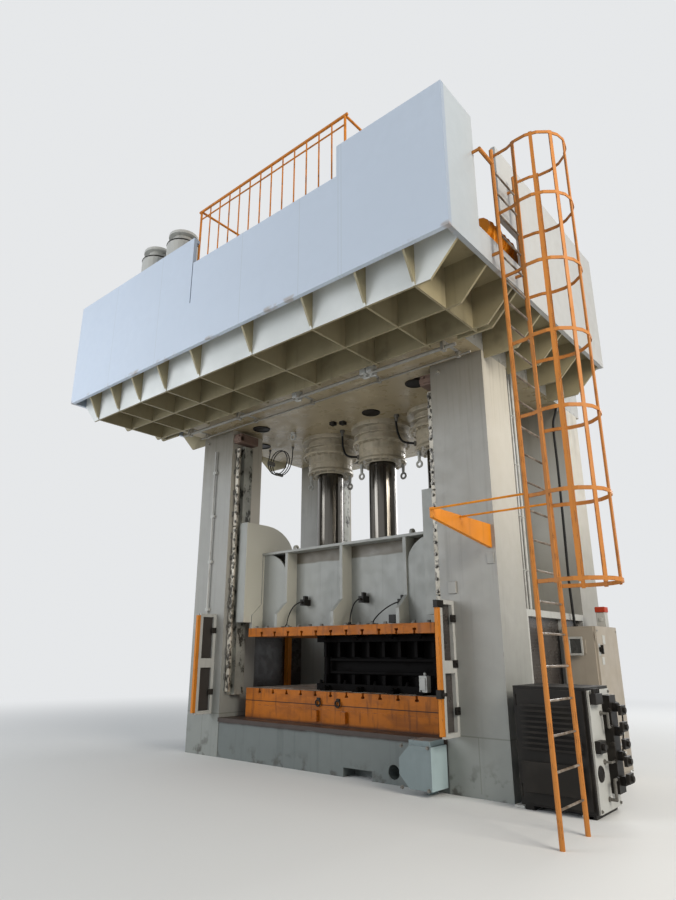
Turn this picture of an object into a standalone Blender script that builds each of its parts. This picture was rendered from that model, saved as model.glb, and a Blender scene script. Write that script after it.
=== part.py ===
# A large straight-side hydraulic press with a service deck, ladder and cage.
#
# Frame: the origin is on the floor, midway between the four columns.
# +X is to the operator's right, -Y is the front and +Z is up. Metres.

import math

import bmesh
import bpy
from mathutils import Matrix, Vector

# General clearances and overruns
GAP = 0.0003
RUNNING_GAP = 0.0005
SINK = 0.01
OVERRUN = 0.05

# Columns, the straight sides of the press
SPAN = 4.38
COLUMN_WIDTH = 0.84
COLUMN_DEPTH = 0.75
FRAME_DEPTH = 3.52
COLUMN_HEIGHT = 5.66
SIDE_X = SPAN / 2 + COLUMN_WIDTH / 2
SIDE_Y = FRAME_DEPTH / 2 - COLUMN_DEPTH / 2
OUTER_X = SPAN / 2 + COLUMN_WIDTH
COLUMN_FRONT = FRAME_DEPTH / 2

# Bed, between the columns
BED_HEIGHT = 0.6
BED_DEPTH = 3.5
BED_PORT_RADIUS = 0.09
BED_PORT_X = 1.36
BED_PORT_Z = 0.15
BED_PORT_DEPTH = 0.25
BED_CHUTE_WIDTH = 0.5
BED_CHUTE_HEIGHT = 0.12
BED_CHUTE_X = 0.75
BED_LIP = 0.03
BED_LIP_HEIGHT = 0.06

# Bolster, in two layers on the bed
BOLSTER_WIDTH = 3.76
BOLSTER_DEPTH = 2.9
BOLSTER_BASE_HEIGHT = 0.21
BOLSTER_HEIGHT = 0.255
SLOT_COUNT = 11
SLOT_PITCH = 0.31
SLOT_NECK = 0.036
SLOT_HEAD = 0.06
SLOT_NECK_DEPTH = 0.045
SLOT_HEAD_DEPTH = 0.03
CLAMP_WIDTH = 0.09
CLAMP_DEPTH = 0.05
CLAMP_HEIGHT = 0.16
CLAMP_X = 0.28
BOLSTER_BASE_TOP = BED_HEIGHT + GAP + BOLSTER_BASE_HEIGHT
BOLSTER_FOOT = BOLSTER_BASE_TOP + GAP
BOLSTER_TOP = BOLSTER_FOOT + BOLSTER_HEIGHT

# Tooling held in the press
DIE_WIDTH = 2.3
DIE_DEPTH = 2.3
DIE_X = 0.6
DIE_SHOE = 0.1
DIE_LOWER_HEIGHT = 0.42
DIE_UPPER_HEIGHT = 0.4
DIE_INSET = 0.22
DIE_POST_RADIUS = 0.05
DIE_POST_INSET = 0.12
DIE_BLOCK = 0.08
DIE_STOP_HEIGHT = 0.26
LOWER_DIE_FOOT = BOLSTER_TOP + GAP
LOWER_DIE_TOP = LOWER_DIE_FOOT + DIE_LOWER_HEIGHT
UPPER_DIE_FOOT = LOWER_DIE_TOP + GAP
UPPER_DIE_TOP = UPPER_DIE_FOOT + DIE_UPPER_HEIGHT

# Slide, the moving beam, and the slotted plate below it
PLATE_HEIGHT = 0.14
PLATE_DEPTH = 2.9
PLATE_FOOT = UPPER_DIE_TOP + GAP
PLATE_TOP = PLATE_FOOT + PLATE_HEIGHT
SLIDE_FOOT = PLATE_TOP + GAP
SLIDE_WIDTH = 3.8
SLIDE_DEPTH = 2.4
SLIDE_HEIGHT = 1.32
SLIDE_SKIRT_DEPTH = 2.84
SLIDE_SKIRT_HEIGHT = 0.22
SLIDE_FLARE_HEIGHT = 0.2
SLIDE_CAP_HEIGHT = 0.04
SLIDE_CAP_PROUD = 0.01
SLIDE_RIB = 0.06
SLIDE_RIB_PITCH = 1.25
SLIDE_POCKET = 0.24
SLIDE_CORNER_WIDTH = 0.62
SLIDE_CORNER_DROP = 0.42
SLIDE_TOP = SLIDE_FOOT + SLIDE_HEIGHT
SLIDE_TRAVEL = 1.3

# Guides: a rail on each column and a shoe at each corner of the slide
RAIL_WIDTH = 0.2
RAIL_STAND = 0.13
RAIL_FOOT = 0.95
RAIL_HEIGHT = 4.4
RAIL_LINER = 0.03
RAIL_PLACE = 0.3
RAIL_Y = FRAME_DEPTH / 2 - RAIL_PLACE
SHOE_THICK = 0.2
SHOE_FRONT = 1.6
SHOE_SHOULDER = 1.1
SHOE_BACK = 0.4
SHOE_TOP_RISE = 0.52
SHOE_DROP = 0.1
EYE_RADIUS = 0.06
EYE_HOLE = 0.03
BOSS_STAND = 0.03
BOSS_PITCH = 0.55

# Crown, the top beam
CROWN_HEIGHT = 1.25
CROWN_FRONT = 2.43
CROWN_REAR = 1.9
CROWN_FOOT = COLUMN_HEIGHT + GAP
CROWN_TOP = CROWN_FOOT + CROWN_HEIGHT
CROWN_HOLE_RADIUS = 0.15
CROWN_HOLE_DEPTH = 0.12
CROWN_HOLE_X = 1.8
CROWN_HOLE_Y = 1.4
NUT_RADIUS = 0.21
NUT_HEIGHT = 0.22

# Cylinders, glands and rods
CYLINDER_PITCH = 1.27
CYLINDER_COUNT = 3
CYLINDER_RADIUS = 0.45
CYLINDER_COLLAR = 0.52
CYLINDER_COLLAR_HEIGHT = 0.12
CYLINDER_FOOT = 5.29
CYLINDER_CAP = 0.12
BORE_CLEAR = 0.48
GLAND_RADIUS = 0.43
GLAND_HEIGHT = 0.33
GLAND_STEP = 0.08
ROD_RADIUS = 0.25
ROD_REACH = 0.35
PISTON_RADIUS = 0.3
PISTON_HEIGHT = 0.16
BORE_RADIUS = 0.31
ROD_FLANGE_RADIUS = 0.36
ROD_FLANGE_HEIGHT = 0.09
CYLINDER_HEIGHT = ROD_REACH + SLIDE_TRAVEL + BORE_CLEAR + CYLINDER_CAP
GLAND_TOP = CYLINDER_FOOT - GAP
GLAND_FOOT = GLAND_TOP - GLAND_HEIGHT

# Service deck round the crown
DECK_WIDTH = 7.9
DECK_FRONT = 4.12
DECK_REAR = 0.58
FASCIA_FOOT = 5.93
FASCIA_TOP = 7.87
FASCIA_THICK = 0.06
DECK_UNDER = 6.12
DECK_PLATE = 0.04
RIB_FOOT = 5.56
RIB_THICK = 0.03
RIB_NOSE = 0.2
SIDE_NOSE = 0.36
BEAM_SETBACK = 0.22
BEAM_PITCH = 0.66
BEAM_COUNT = 3
RIB_PLACES = (-3.38, -2.72, -2.08, -1.37, -0.53, 0.62, 1.75, 2.62, 3.32)
SIDE_RIB_COUNT = 5
DOOR_FRONT = 3.42
DOOR_REAR = 2.8
DOOR_SILL = 6.3
HATCH_REAR = 2.25
HATCH_TOP = 6.78
NOTCH_LEFT = 0.55
NOTCH_RIGHT = 2.39
NOTCH_FOOT = 7.4
SEAM_WIDTH = 0.02
SEAM_FOOT = 6.7
LIP_WIDTH = 0.05
LIP_DROP = 0.006
REAR_PANEL_CLEAR = 0.02
DECK_HALF = DECK_WIDTH / 2
DECK_TOP = DECK_UNDER + DECK_PLATE
INNER_HALF = DECK_HALF - FASCIA_THICK - GAP
INNER_FRONT = DECK_FRONT - FASCIA_THICK - GAP

# Handrails on the deck
RAIL_TUBE = 0.021
POST_TUBE = 0.018
BALUSTER = 0.011
HANDRAIL_TOP = 8.45
HANDRAIL_MID = 8.3
BALUSTER_COUNT = 12
HANDRAIL_SETBACK = FASCIA_THICK + LIP_WIDTH + RAIL_TUBE + GAP
HANDRAIL_RETURN = 0.8
REAR_RAIL_HEIGHT = 1.05
REAR_RAIL_POSTS = 8

# Ladder and cage on the right side
LADDER_X = 4.13
LADDER_FRONT = 3.14
LADDER_REAR = 2.53
LADDER_TOP = 7.5
LADDER_LEAN = 0.085
STILE_RADIUS = 0.026
RUNG_RADIUS = 0.012
RUNG_FIRST = 0.305
RUNG_PITCH = 0.3
LUG_HEIGHT = 0.05
LUG_THICK = 0.02
LUG_LOW = 6.05
LUG_HIGH = 7.3
LUG_SETBACK = 0.04
CAGE_FOOT = 2.26
CAGE_PITCH = 0.855
CAGE_HOOPS = 7
CAGE_RADIUS = 0.38
CAGE_X = 4.45
CAGE_WRAP = 122.0
HOOP_STEPS = 12
BAND_WIDTH = 0.04
BAND_THICK = 0.01
CAGE_BARS = 7
CAGE_BAR_ARC = 36.0
STAY_Z = 3.2
STAY_REACH = 1.36
STAY_ROOT = 0.3
STAY_TIP = 0.12
STAY_THICK = 0.05
STAY_X = OUTER_X - 0.1
STAY_BAR = 0.012

# Guards on both sides of the die space, edge-on to the front
GUARD_RIGHT_X = 2.355
GUARD_LEFT_X = 2.41
GUARD_REACH = 0.34
GUARD_FOOT = 0.65
GUARD_HEIGHT = 1.62
GUARD_THICK = 0.05
GUARD_RIM = 0.055
GUARD_BAR = 0.15
GUARD_PANE = 0.012
GUARD_STRIP = 0.05
GUARD_STRIP_DEPTH = 0.06
GUARD_STRIP_INSET = 0.03

# Drive cover low at the front
COVER_LEFT = 1.72
COVER_WIDTH = 0.465
COVER_FOOT = 0.07
COVER_HEIGHT = 0.48
COVER_DEPTH = 0.36
COVER_CHAMFER = 0.15
COVER_CAP_WIDTH = 0.34
COVER_CAP_HEIGHT = 0.12

# Guards in the side windows
SIDE_GUARD_TOP = 2.18
SIDE_GUARD_FOOT = 0.62
SIDE_GUARD_BEAM = 0.09
SIDE_GUARD_RIM = 0.04
SIDE_GUARD_POST = 0.05
SIDE_GUARD_POST_Y = 0.22
SIDE_GUARD_THICK = 0.08
SIDE_PANE = 0.012
POST_Y = 0.55
POST_SIDE = 0.1

# Pump unit beside the right front column
PUMP_STAND = 0.16
PUMP_LEFT = OUTER_X + PUMP_STAND
PUMP_WIDTH = 0.83
PUMP_FRONT = 1.92
PUMP_DEPTH = 0.7
PUMP_BRACKET = 0.08
PUMP_BRACKET_Y = 1.5
PUMP_HEIGHT = 1.22
PUMP_FOOT = 0.05
PUMP_PLATE = 0.02
PUMP_DOOR_MARGIN = 0.03
PUMP_DOOR_THICK = 0.03
PUMP_HINGE_RADIUS = 0.012
HANDLE_LENGTH = 0.14
HANDLE_STAND = 0.035
HANDLE_RADIUS = 0.008
MANIFOLD_Y = 1.42
MANIFOLD_WIDTH = 0.2
MANIFOLD_DEPTH = 0.09
MANIFOLD_FOOT = 0.2
MANIFOLD_HEIGHT = 0.98
VALVE_COUNT = 4
VALVE_SIDE = 0.09
VALVE_LENGTH = 0.16

# Control cabinet beside the right window
CABINET_LEFT = OUTER_X + GAP
CABINET_WIDTH = 0.48
CABINET_FRONT = 0.1
CABINET_DEPTH = 0.86
CABINET_HEIGHT = 1.9
CABINET_FOOT = 0.08
CABINET_WALL = 0.03
CABINET_DOOR = 0.03
CABINET_MARGIN = 0.012
WINDOW_SIDE = 0.11
WINDOW_Z = 1.71
WINDOW_RIM = 0.038
SWITCH_Y = 0.07
SWITCH_Z = 1.67
SWITCH_RADIUS = 0.035
SWITCH_LENGTH = 0.12
SWITCH_DEPTH = 0.03
SWITCH_BAR = 0.025
HINGE_RADIUS = 0.011
HINGE_LENGTH = 0.12

# Pipes on the frame
PIPE_RADIUS = 0.026
PIPE_Y = 2.32
PIPE_DROP = 0.1
PIPE_HALF = 2.95
REAR_PIPE_RADIUS = 0.016
REAR_PIPE_Y = 1.92
REAR_PIPE_DROP = 0.06
REAR_CLIP_HALF = 0.03
HANGER_THICK = 0.012
CLIP_PITCH = 1.38
CLIP_WIDTH = 0.05
CLIP_HALF = 0.045
CONDUIT_X = 2.62
CONDUIT_RADIUS = 0.018
CONDUIT_FOOT = 1.1
CONDUIT_TOP = 5.3
CONDUIT_STAND = 0.04
CONDUIT_CLIPS = 5

# Plant on the deck
TANK_RADIUS = 0.27
TANK_TOP = 8.5
TANK_DOME = 0.08
TANK_CAP = 0.05
TANK_CAP_RADIUS = 0.25
TANK_NECK = 0.07
TANK_NECK_RADIUS = 0.17
TANK_X = 1.44
TANK_PITCH = 0.74
TANK_SETBACK = 0.4
TANK_FOOT = 0.06
DECK_MOTOR_X = 3.62
DECK_MOTOR_FRONT = 2.75
DECK_MOTOR_LENGTH = 0.8
DECK_MOTOR_RADIUS = 0.15
DECK_MOTOR_Z = 6.8
DECK_PUMP_RADIUS = 0.11
DECK_PUMP_LENGTH = 0.35
STAND_WIDTH = 0.3
STAND_THICK = 0.04
FIN_COUNT = 6
FIN_THICK = 0.02
FIN_STAND = 0.02

# Numbers of sides on round pieces
ROUND = 28
TUBE_ROUND = 8
SMALL_ROUND = 12
THIN_ROUND = 6


def clear_scene():
    for obj in list(bpy.data.objects):
        bpy.data.objects.remove(obj, do_unlink=True)


clear_scene()
parts = bpy.data.collections.new("hydraulic_press")
helpers = bpy.data.collections.new("cutters")
bpy.context.scene.collection.children.link(parts)
bpy.context.scene.collection.children.link(helpers)
helpers.hide_render = True


def material(name, colour, roughness, metallic=0.0):
    made = bpy.data.materials.new(name)
    made.use_nodes = True
    shader = made.node_tree.nodes["Principled BSDF"]
    shader.inputs["Base Color"].default_value = (*colour, 1.0)
    shader.inputs["Roughness"].default_value = roughness
    shader.inputs["Metallic"].default_value = metallic
    return made


COLOURS = {
    "frame_paint": ((0.42, 0.46, 0.45), 0.5, 0.0),
    "fascia_paint": ((0.62, 0.70, 0.74), 0.45, 0.0),
    "deck_paint": ((0.40, 0.40, 0.34), 0.55, 0.0),
    "orange_paint": ((0.80, 0.32, 0.05), 0.5, 0.0),
    "die_steel": ((0.02, 0.02, 0.025), 0.45, 0.3),
    "chrome": ((0.75, 0.75, 0.78), 0.12, 1.0),
    "cast_iron": ((0.35, 0.36, 0.33), 0.55, 0.3),
    "dark_paint": ((0.03, 0.035, 0.04), 0.4, 0.0),
    "white_paint": ((0.75, 0.78, 0.78), 0.45, 0.0),
    "cabinet_paint": ((0.48, 0.49, 0.45), 0.5, 0.0),
    "motor_paint": ((0.85, 0.35, 0.03), 0.4, 0.0),
}


def place(obj, collection):
    for other in list(obj.users_collection):
        other.objects.unlink(obj)
    collection.objects.link(obj)
    if collection is helpers:
        obj.hide_render = True
        obj.display_type = "WIRE"
    return obj


def helper(name, shape):
    """A mesh object in the cutters' collection, made from a bmesh."""
    mesh = bpy.data.meshes.new(name)
    shape.to_mesh(mesh)
    shape.free()
    return place_new(name, mesh)


def place_new(name, mesh):
    obj = bpy.data.objects.new(name, mesh)
    return place(obj, helpers)


def box(low, high):
    """A box between two corners."""
    shape = bmesh.new()
    bmesh.ops.create_cube(shape, size=1.0)
    low, high = Vector(low), Vector(high)
    size = Matrix.Diagonal((*(high - low), 1.0))
    bmesh.ops.transform(shape, matrix=Matrix.Translation((low + high) / 2) @ size, verts=shape.verts)
    return helper("box", shape)


def bar(start, end, radius, sides=TUBE_ROUND):
    """A round bar between two points."""
    start, end = Vector(start), Vector(end)
    run = end - start
    shape = bmesh.new()
    bmesh.ops.create_cone(
        shape, cap_ends=True, segments=sides, radius1=radius, radius2=radius, depth=run.length
    )
    turn = run.to_track_quat("Z", "Y").to_matrix().to_4x4()
    bmesh.ops.transform(shape, matrix=Matrix.Translation((start + end) / 2) @ turn, verts=shape.verts)
    return helper("bar", shape)


PLANES = {
    # An outline's first and second numbers run along these axes, and its thickness along the third
    "xy": Matrix(((1, 0, 0, 0), (0, 1, 0, 0), (0, 0, 1, 0), (0, 0, 0, 1))),
    "xz": Matrix(((1, 0, 0, 0), (0, 0, -1, 0), (0, 1, 0, 0), (0, 0, 0, 1))),
    "yz": Matrix(((0, 0, 1, 0), (1, 0, 0, 0), (0, 1, 0, 0), (0, 0, 0, 1))),
}
DEPTH_AXIS = {"xy": "z", "xz": "y", "yz": "x"}


def plate(outlines, plane, low, high):
    """A flat outline, with holes where more than one is given, between two levels of its plane."""
    curve = bpy.data.curves.new("plate", "CURVE")
    curve.dimensions = "2D"
    curve.fill_mode = "BOTH"
    curve.extrude = (high - low) / 2
    for outline in outlines:
        spline = curve.splines.new("POLY")
        spline.points.add(len(outline) - 1)
        for point, (first, second) in zip(spline.points, outline):
            point.co = (first, second, 0.0, 1.0)
        spline.use_cyclic_u = True
    flat = bpy.data.objects.new("plate", curve)
    bpy.context.scene.collection.objects.link(flat)
    middle = Vector((0.0, 0.0, 0.0))
    setattr(middle, DEPTH_AXIS[plane], (low + high) / 2)
    flat.matrix_world = Matrix.Translation(middle) @ PLANES[plane]
    return mesh_of(flat)


def mesh_of(curve_object):
    """The closed mesh of a curve object, which it replaces."""
    bpy.context.view_layer.update()
    graph = bpy.context.evaluated_depsgraph_get()
    mesh = bpy.data.meshes.new_from_object(curve_object.evaluated_get(graph))
    shape = bmesh.new()
    shape.from_mesh(mesh)
    bmesh.ops.remove_doubles(shape, verts=shape.verts, dist=GAP / 10)
    bmesh.ops.transform(shape, matrix=curve_object.matrix_world, verts=shape.verts)
    bmesh.ops.recalc_face_normals(shape, faces=shape.faces)
    bpy.data.objects.remove(curve_object, do_unlink=True)
    bpy.data.meshes.remove(mesh)
    return helper("plate", shape)


def turned(profile, centre, sides=ROUND):
    """A turned solid: the profile is (radius, height) from the top of its upright axis to the foot."""
    mesh = bpy.data.meshes.new("turned")
    shape = bmesh.new()
    points = [shape.verts.new((radius, 0.0, height)) for radius, height in profile]
    for first, second in zip(points, points[1:]):
        shape.edges.new((first, second))
    shape.to_mesh(mesh)
    shape.free()
    obj = place_new("turned", mesh)
    screw = obj.modifiers.new("turn", "SCREW")
    screw.steps = sides
    screw.render_steps = sides
    screw.use_merge_vertices = True
    screw.merge_threshold = GAP / 10
    screw.use_smooth_shade = True
    obj.matrix_world = Matrix.Translation(centre)
    bpy.context.view_layer.update()
    graph = bpy.context.evaluated_depsgraph_get()
    solid = bpy.data.meshes.new_from_object(obj.evaluated_get(graph))
    shape = bmesh.new()
    shape.from_mesh(solid)
    bmesh.ops.transform(shape, matrix=obj.matrix_world, verts=shape.verts)
    bmesh.ops.recalc_face_normals(shape, faces=shape.faces)
    bpy.data.objects.remove(obj, do_unlink=True)
    return helper("turned", shape)


def joined(name, shapes):
    """One helper mesh that holds all the shapes, still as they stand."""
    if len(shapes) == 1:
        shapes[0].name = name
        return shapes[0]
    together = bmesh.new()
    for shape in shapes:
        together.from_mesh(shape.data)
        bpy.data.objects.remove(shape, do_unlink=True)
    return helper(name, together)


def add_boolean(obj, operation, shapes):
    if not shapes:
        return
    other = joined(obj.name + "_" + operation.lower(), shapes)
    modifier = obj.modifiers.new(operation.lower(), "BOOLEAN")
    modifier.operation = operation
    modifier.object = other
    modifier.solver = "EXACT"
    modifier.use_self = operation == "UNION"


def part(name, slot, shapes, cuts=(), pivot=None, smooth=False):
    """A named piece of the press: its shapes made one, less its cuts."""
    base = shapes[0]
    base.name = name
    base.data.name = name
    place(base, parts)
    base.hide_render = False
    base.display_type = "TEXTURED"
    add_boolean(base, "UNION", list(shapes[1:]))
    add_boolean(base, "DIFFERENCE", list(cuts))
    colour, roughness, metallic = COLOURS[slot]
    base.data.materials.clear()
    base.data.materials.append(material(name + "_" + slot, colour, roughness, metallic))
    if smooth:
        base.data.shade_smooth()
        base.data.set_sharp_from_angle(angle=math.radians(35))
    if pivot is not None:
        base.data.transform(Matrix.Translation(-Vector(pivot)))
        base.location = pivot
    return base


def mirrored_box(sx, sy, low, high):
    """A box given for the right front corner's magnitudes, placed at the corner of signs sx, sy."""
    xs = sorted((sx * low[0], sx * high[0]))
    ys = sorted((sy * low[1], sy * high[1]))
    return box((xs[0], ys[0], low[2]), (xs[1], ys[1], high[2]))


def spread(count, pitch):
    """Places spaced evenly about zero."""
    return [(index - (count - 1) / 2) * pitch for index in range(count)]


def arc(centre, radius, start, end, steps):
    """Points along an arc, in degrees, as a flat outline."""
    found = []
    for step in range(steps + 1):
        angle = math.radians(start + (end - start) * step / steps)
        found.append((centre[0] + radius * math.cos(angle), centre[1] + radius * math.sin(angle)))
    return found


CORNERS = {"right_front": (1, -1), "left_front": (-1, -1), "right_rear": (1, 1), "left_rear": (-1, 1)}


# Frame of the press
def make_columns():
    inner = SPAN / 2
    for corner, (sx, sy) in CORNERS.items():
        body = mirrored_box(
            sx, sy, (inner, COLUMN_FRONT - COLUMN_DEPTH, 0.0), (OUTER_X, COLUMN_FRONT, COLUMN_HEIGHT)
        )
        part("column_" + corner, "frame_paint", [body])


def make_bed():
    half = SPAN / 2 - GAP
    front = BED_DEPTH / 2
    body = box((-half, -front, 0.0), (half, front, BED_HEIGHT))
    lip = box(
        (-half, -front - BED_LIP, BED_HEIGHT - BED_LIP_HEIGHT),
        (half, front + BED_LIP, BED_HEIGHT),
    )
    port = bar(
        (BED_PORT_X, -front - BED_LIP - OVERRUN, BED_PORT_Z),
        (BED_PORT_X, -front + BED_PORT_DEPTH, BED_PORT_Z),
        BED_PORT_RADIUS,
        ROUND // 2,
    )
    chute = box(
        (BED_CHUTE_X - BED_CHUTE_WIDTH / 2, -front - OVERRUN, -OVERRUN),
        (BED_CHUTE_X + BED_CHUTE_WIDTH / 2, -front + BED_PORT_DEPTH, BED_CHUTE_HEIGHT),
    )
    part("bed", "frame_paint", [body, lip], [port, chute])


def slotted_outline(half, foot, top, slots_up):
    """A wide rectangle whose top, or foot, is cut by a row of T slots."""
    points = []
    level = top if slots_up else foot
    inward = -1 if slots_up else 1
    neck = level + inward * SLOT_NECK_DEPTH
    head = neck + inward * SLOT_HEAD_DEPTH
    for middle in spread(SLOT_COUNT, SLOT_PITCH):
        points += [
            (middle - SLOT_NECK / 2, level),
            (middle - SLOT_NECK / 2, neck),
            (middle - SLOT_HEAD / 2, neck),
            (middle - SLOT_HEAD / 2, head),
            (middle + SLOT_HEAD / 2, head),
            (middle + SLOT_HEAD / 2, neck),
            (middle + SLOT_NECK / 2, neck),
            (middle + SLOT_NECK / 2, level),
        ]
    other = foot if slots_up else top
    return [(-half, level)] + points + [(half, level), (half, other), (-half, other)]


def make_bolster():
    half = BOLSTER_WIDTH / 2
    depth = BOLSTER_DEPTH / 2
    shapes = [box((-half, -depth, BED_HEIGHT + GAP), (half, depth, BOLSTER_BASE_TOP))]
    top = BOLSTER_BASE_TOP - SINK
    level = top - CLAMP_HEIGHT / 2
    eyes = []
    for x in spread(2, CLAMP_X * 2):
        shapes.append(
            box(
                (x - CLAMP_WIDTH / 2, -depth - CLAMP_DEPTH, top - CLAMP_HEIGHT),
                (x + CLAMP_WIDTH / 2, -depth + SINK, top),
            )
        )
        eyes.append(
            bar(
                (x - CLAMP_WIDTH, -depth - CLAMP_DEPTH / 2, level),
                (x + CLAMP_WIDTH, -depth - CLAMP_DEPTH / 2, level),
                CLAMP_DEPTH / 4,
            )
        )
    part("bolster_base", "orange_paint", shapes, eyes)
    outline = slotted_outline(half, BOLSTER_FOOT, BOLSTER_TOP, True)
    part("bolster", "orange_paint", [plate([outline], "xz", -depth, depth)])


def make_tooling():
    """Lower and upper die halves, closed on each other, with their guide posts."""
    left, right = DIE_X - DIE_WIDTH / 2, DIE_X + DIE_WIDTH / 2
    front = DIE_DEPTH / 2
    corners = [
        (x, y)
        for x in (left + DIE_POST_INSET, right - DIE_POST_INSET)
        for y in (-front + DIE_POST_INSET, front - DIE_POST_INSET)
    ]
    lower = [box((left, -front, LOWER_DIE_FOOT), (right, front, LOWER_DIE_FOOT + DIE_SHOE))]
    lower.append(
        box(
            (left + DIE_BLOCK, -front + DIE_INSET, LOWER_DIE_FOOT + DIE_SHOE - SINK),
            (right - DIE_BLOCK, front - DIE_INSET, LOWER_DIE_TOP),
        )
    )
    stop_top = LOWER_DIE_FOOT + DIE_STOP_HEIGHT
    for x, y in corners:
        lower.append(bar((x, y, LOWER_DIE_FOOT + SINK), (x, y, stop_top), DIE_POST_RADIUS, SMALL_ROUND))
    part("lower_die", "die_steel", lower)
    shoe_foot = UPPER_DIE_TOP - DIE_SHOE
    upper = [box((left, -front, shoe_foot), (right, front, UPPER_DIE_TOP))]
    upper.append(
        box(
            (left + DIE_BLOCK, -front + DIE_INSET, UPPER_DIE_FOOT),
            (right - DIE_BLOCK, front - DIE_INSET, shoe_foot + SINK),
        )
    )
    for x, y in corners:
        upper.append(bar((x, y, stop_top + GAP), (x, y, shoe_foot + SINK), DIE_POST_RADIUS, SMALL_ROUND))
    part("upper_die", "die_steel", upper)


# Slide and its guides
def make_guide_rails():
    """A rail on the inner face of each column, faced with a bronze liner by its shoe."""
    wall = SPAN / 2 - GAP
    for corner, (sx, sy) in CORNERS.items():
        shapes = [
            mirrored_box(
                sx,
                sy,
                (wall - RAIL_STAND, RAIL_Y - RAIL_WIDTH / 2, RAIL_FOOT),
                (wall, RAIL_Y + RAIL_WIDTH / 2, RAIL_FOOT + RAIL_HEIGHT),
            ),
            mirrored_box(
                sx,
                sy,
                (wall - RAIL_LINER, RAIL_Y - RAIL_WIDTH / 2 - RAIL_LINER * 2, RAIL_FOOT),
                (wall, RAIL_Y + RAIL_WIDTH / 2 + RAIL_LINER * 2, RAIL_FOOT + RAIL_HEIGHT),
            ),
        ]
        count = int(RAIL_HEIGHT / BOSS_PITCH)
        for index in range(count):
            z = RAIL_FOOT + (index + 1 / 2) * RAIL_HEIGHT / count
            edge = RAIL_Y + RAIL_WIDTH / 2 + RAIL_LINER * 2
            shapes.append(
                bar(
                    (sx * (wall - RAIL_LINER / 2), sy * (edge - SINK), z),
                    (sx * (wall - RAIL_LINER / 2), sy * (edge + BOSS_STAND), z),
                    RAIL_LINER / 2 - GAP,
                    TUBE_ROUND,
                )
            )
        part("guide_rail_" + corner, "cast_iron", shapes)


def slide_rib_outline():
    """One rib of the slide seen from the side: below its waist it flares out to a skirt."""
    front = SLIDE_DEPTH / 2
    skirt = SLIDE_SKIRT_DEPTH / 2
    shoulder = SLIDE_FOOT + SLIDE_SKIRT_HEIGHT
    waist = shoulder + SLIDE_FLARE_HEIGHT
    top = SLIDE_TOP - SLIDE_CAP_HEIGHT / 2
    right = [(skirt, SLIDE_FOOT), (skirt, shoulder), (front, waist), (front, top)]
    return right + [(-y, z) for y, z in reversed(right)]


def quarter(start, end):
    """Points of a quarter ellipse that leaves the start level and meets the end upright."""
    found = []
    for step in range(TUBE_ROUND + 1):
        angle = math.pi / 2 * step / TUBE_ROUND
        found.append(
            (
                start[0] + (end[0] - start[0]) * math.sin(angle),
                end[1] + (start[1] - end[1]) * math.cos(angle),
            )
        )
    return found


def make_slide():
    """A welded beam: core wall, cap, flared ribs, rounded corner plates and a guide shoe at each corner."""
    half = SLIDE_WIDTH / 2
    front = SLIDE_DEPTH / 2
    core = front - SLIDE_POCKET
    cap_foot = SLIDE_TOP - SLIDE_CAP_HEIGHT
    shapes = [
        box((-half + SINK, -core, SLIDE_FOOT + SINK), (half - SINK, core, SLIDE_TOP - SINK)),
        box(
            (-half - SLIDE_CAP_PROUD, -front - SLIDE_CAP_PROUD, cap_foot),
            (half + SLIDE_CAP_PROUD, front + SLIDE_CAP_PROUD, SLIDE_TOP),
        ),
    ]
    ends = half - SLIDE_RIB / 2
    for x in spread(3, SLIDE_RIB_PITCH) + [-ends, ends]:
        shapes.append(plate([slide_rib_outline()], "yz", x - SLIDE_RIB / 2, x + SLIDE_RIB / 2))
    rail_face = SPAN / 2 - GAP - RAIL_STAND - RUNNING_GAP
    foot = SLIDE_FOOT + SHOE_DROP
    top = SLIDE_TOP + SHOE_TOP_RISE
    shoulder = cap_foot + SLIDE_CAP_HEIGHT / 2
    for sx, sy in CORNERS.values():
        # The plate that closes the end pocket has a rounded upper corner
        inner = half - SLIDE_CORNER_WIDTH
        curve = quarter((half - SLIDE_RIB, shoulder), (inner, shoulder - SLIDE_CORNER_DROP))
        outline = [(half - SLIDE_RIB / 2, SLIDE_FOOT + SINK), (half - SLIDE_RIB / 2, shoulder)] + curve
        outline.append((inner, SLIDE_FOOT + SINK))
        levels = sorted((sy * (front - SLIDE_RIB), sy * (front - SLIDE_RIB / 2)))
        shapes.append(plate([[(sx * x, z) for x, z in outline]], "xz", *levels))
        # The shoe rises over the slide and falls to the cap in a long curve
        curve = quarter((SHOE_SHOULDER, top), (SHOE_BACK, SLIDE_TOP - SINK))
        outline = [(SHOE_BACK, foot), (SHOE_FRONT, foot), (SHOE_FRONT, top)] + curve
        levels = sorted((sx * (rail_face - SHOE_THICK), sx * rail_face))
        shapes.append(plate([[(sy * y, z) for y, z in outline]], "yz", *levels))
    eyes = []
    for x in (-SLIDE_RIB_PITCH, SLIDE_RIB_PITCH):
        for y in (-core, core):
            low, high = x - SLIDE_RIB / 3, x + SLIDE_RIB / 3
            lug = [(y + EYE_RADIUS, SLIDE_TOP - SINK), (y - EYE_RADIUS, SLIDE_TOP - SINK)]
            lug += arc((y, SLIDE_TOP + EYE_RADIUS), EYE_RADIUS, 180, 0, TUBE_ROUND)
            shapes.append(plate([lug], "yz", low, high))
            level = SLIDE_TOP + EYE_RADIUS
            eyes.append(bar((low - SINK, y, level), (high + SINK, y, level), EYE_HOLE))
    cuts = eyes + [
        bar(
            (x, 0.0, SLIDE_TOP - ROD_FLANGE_HEIGHT - GAP),
            (x, 0.0, SLIDE_TOP + OVERRUN),
            ROD_FLANGE_RADIUS + GAP,
            ROUND,
        )
        for x in spread(CYLINDER_COUNT, CYLINDER_PITCH)
    ]
    part("slide", "frame_paint", shapes, cuts)


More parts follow.
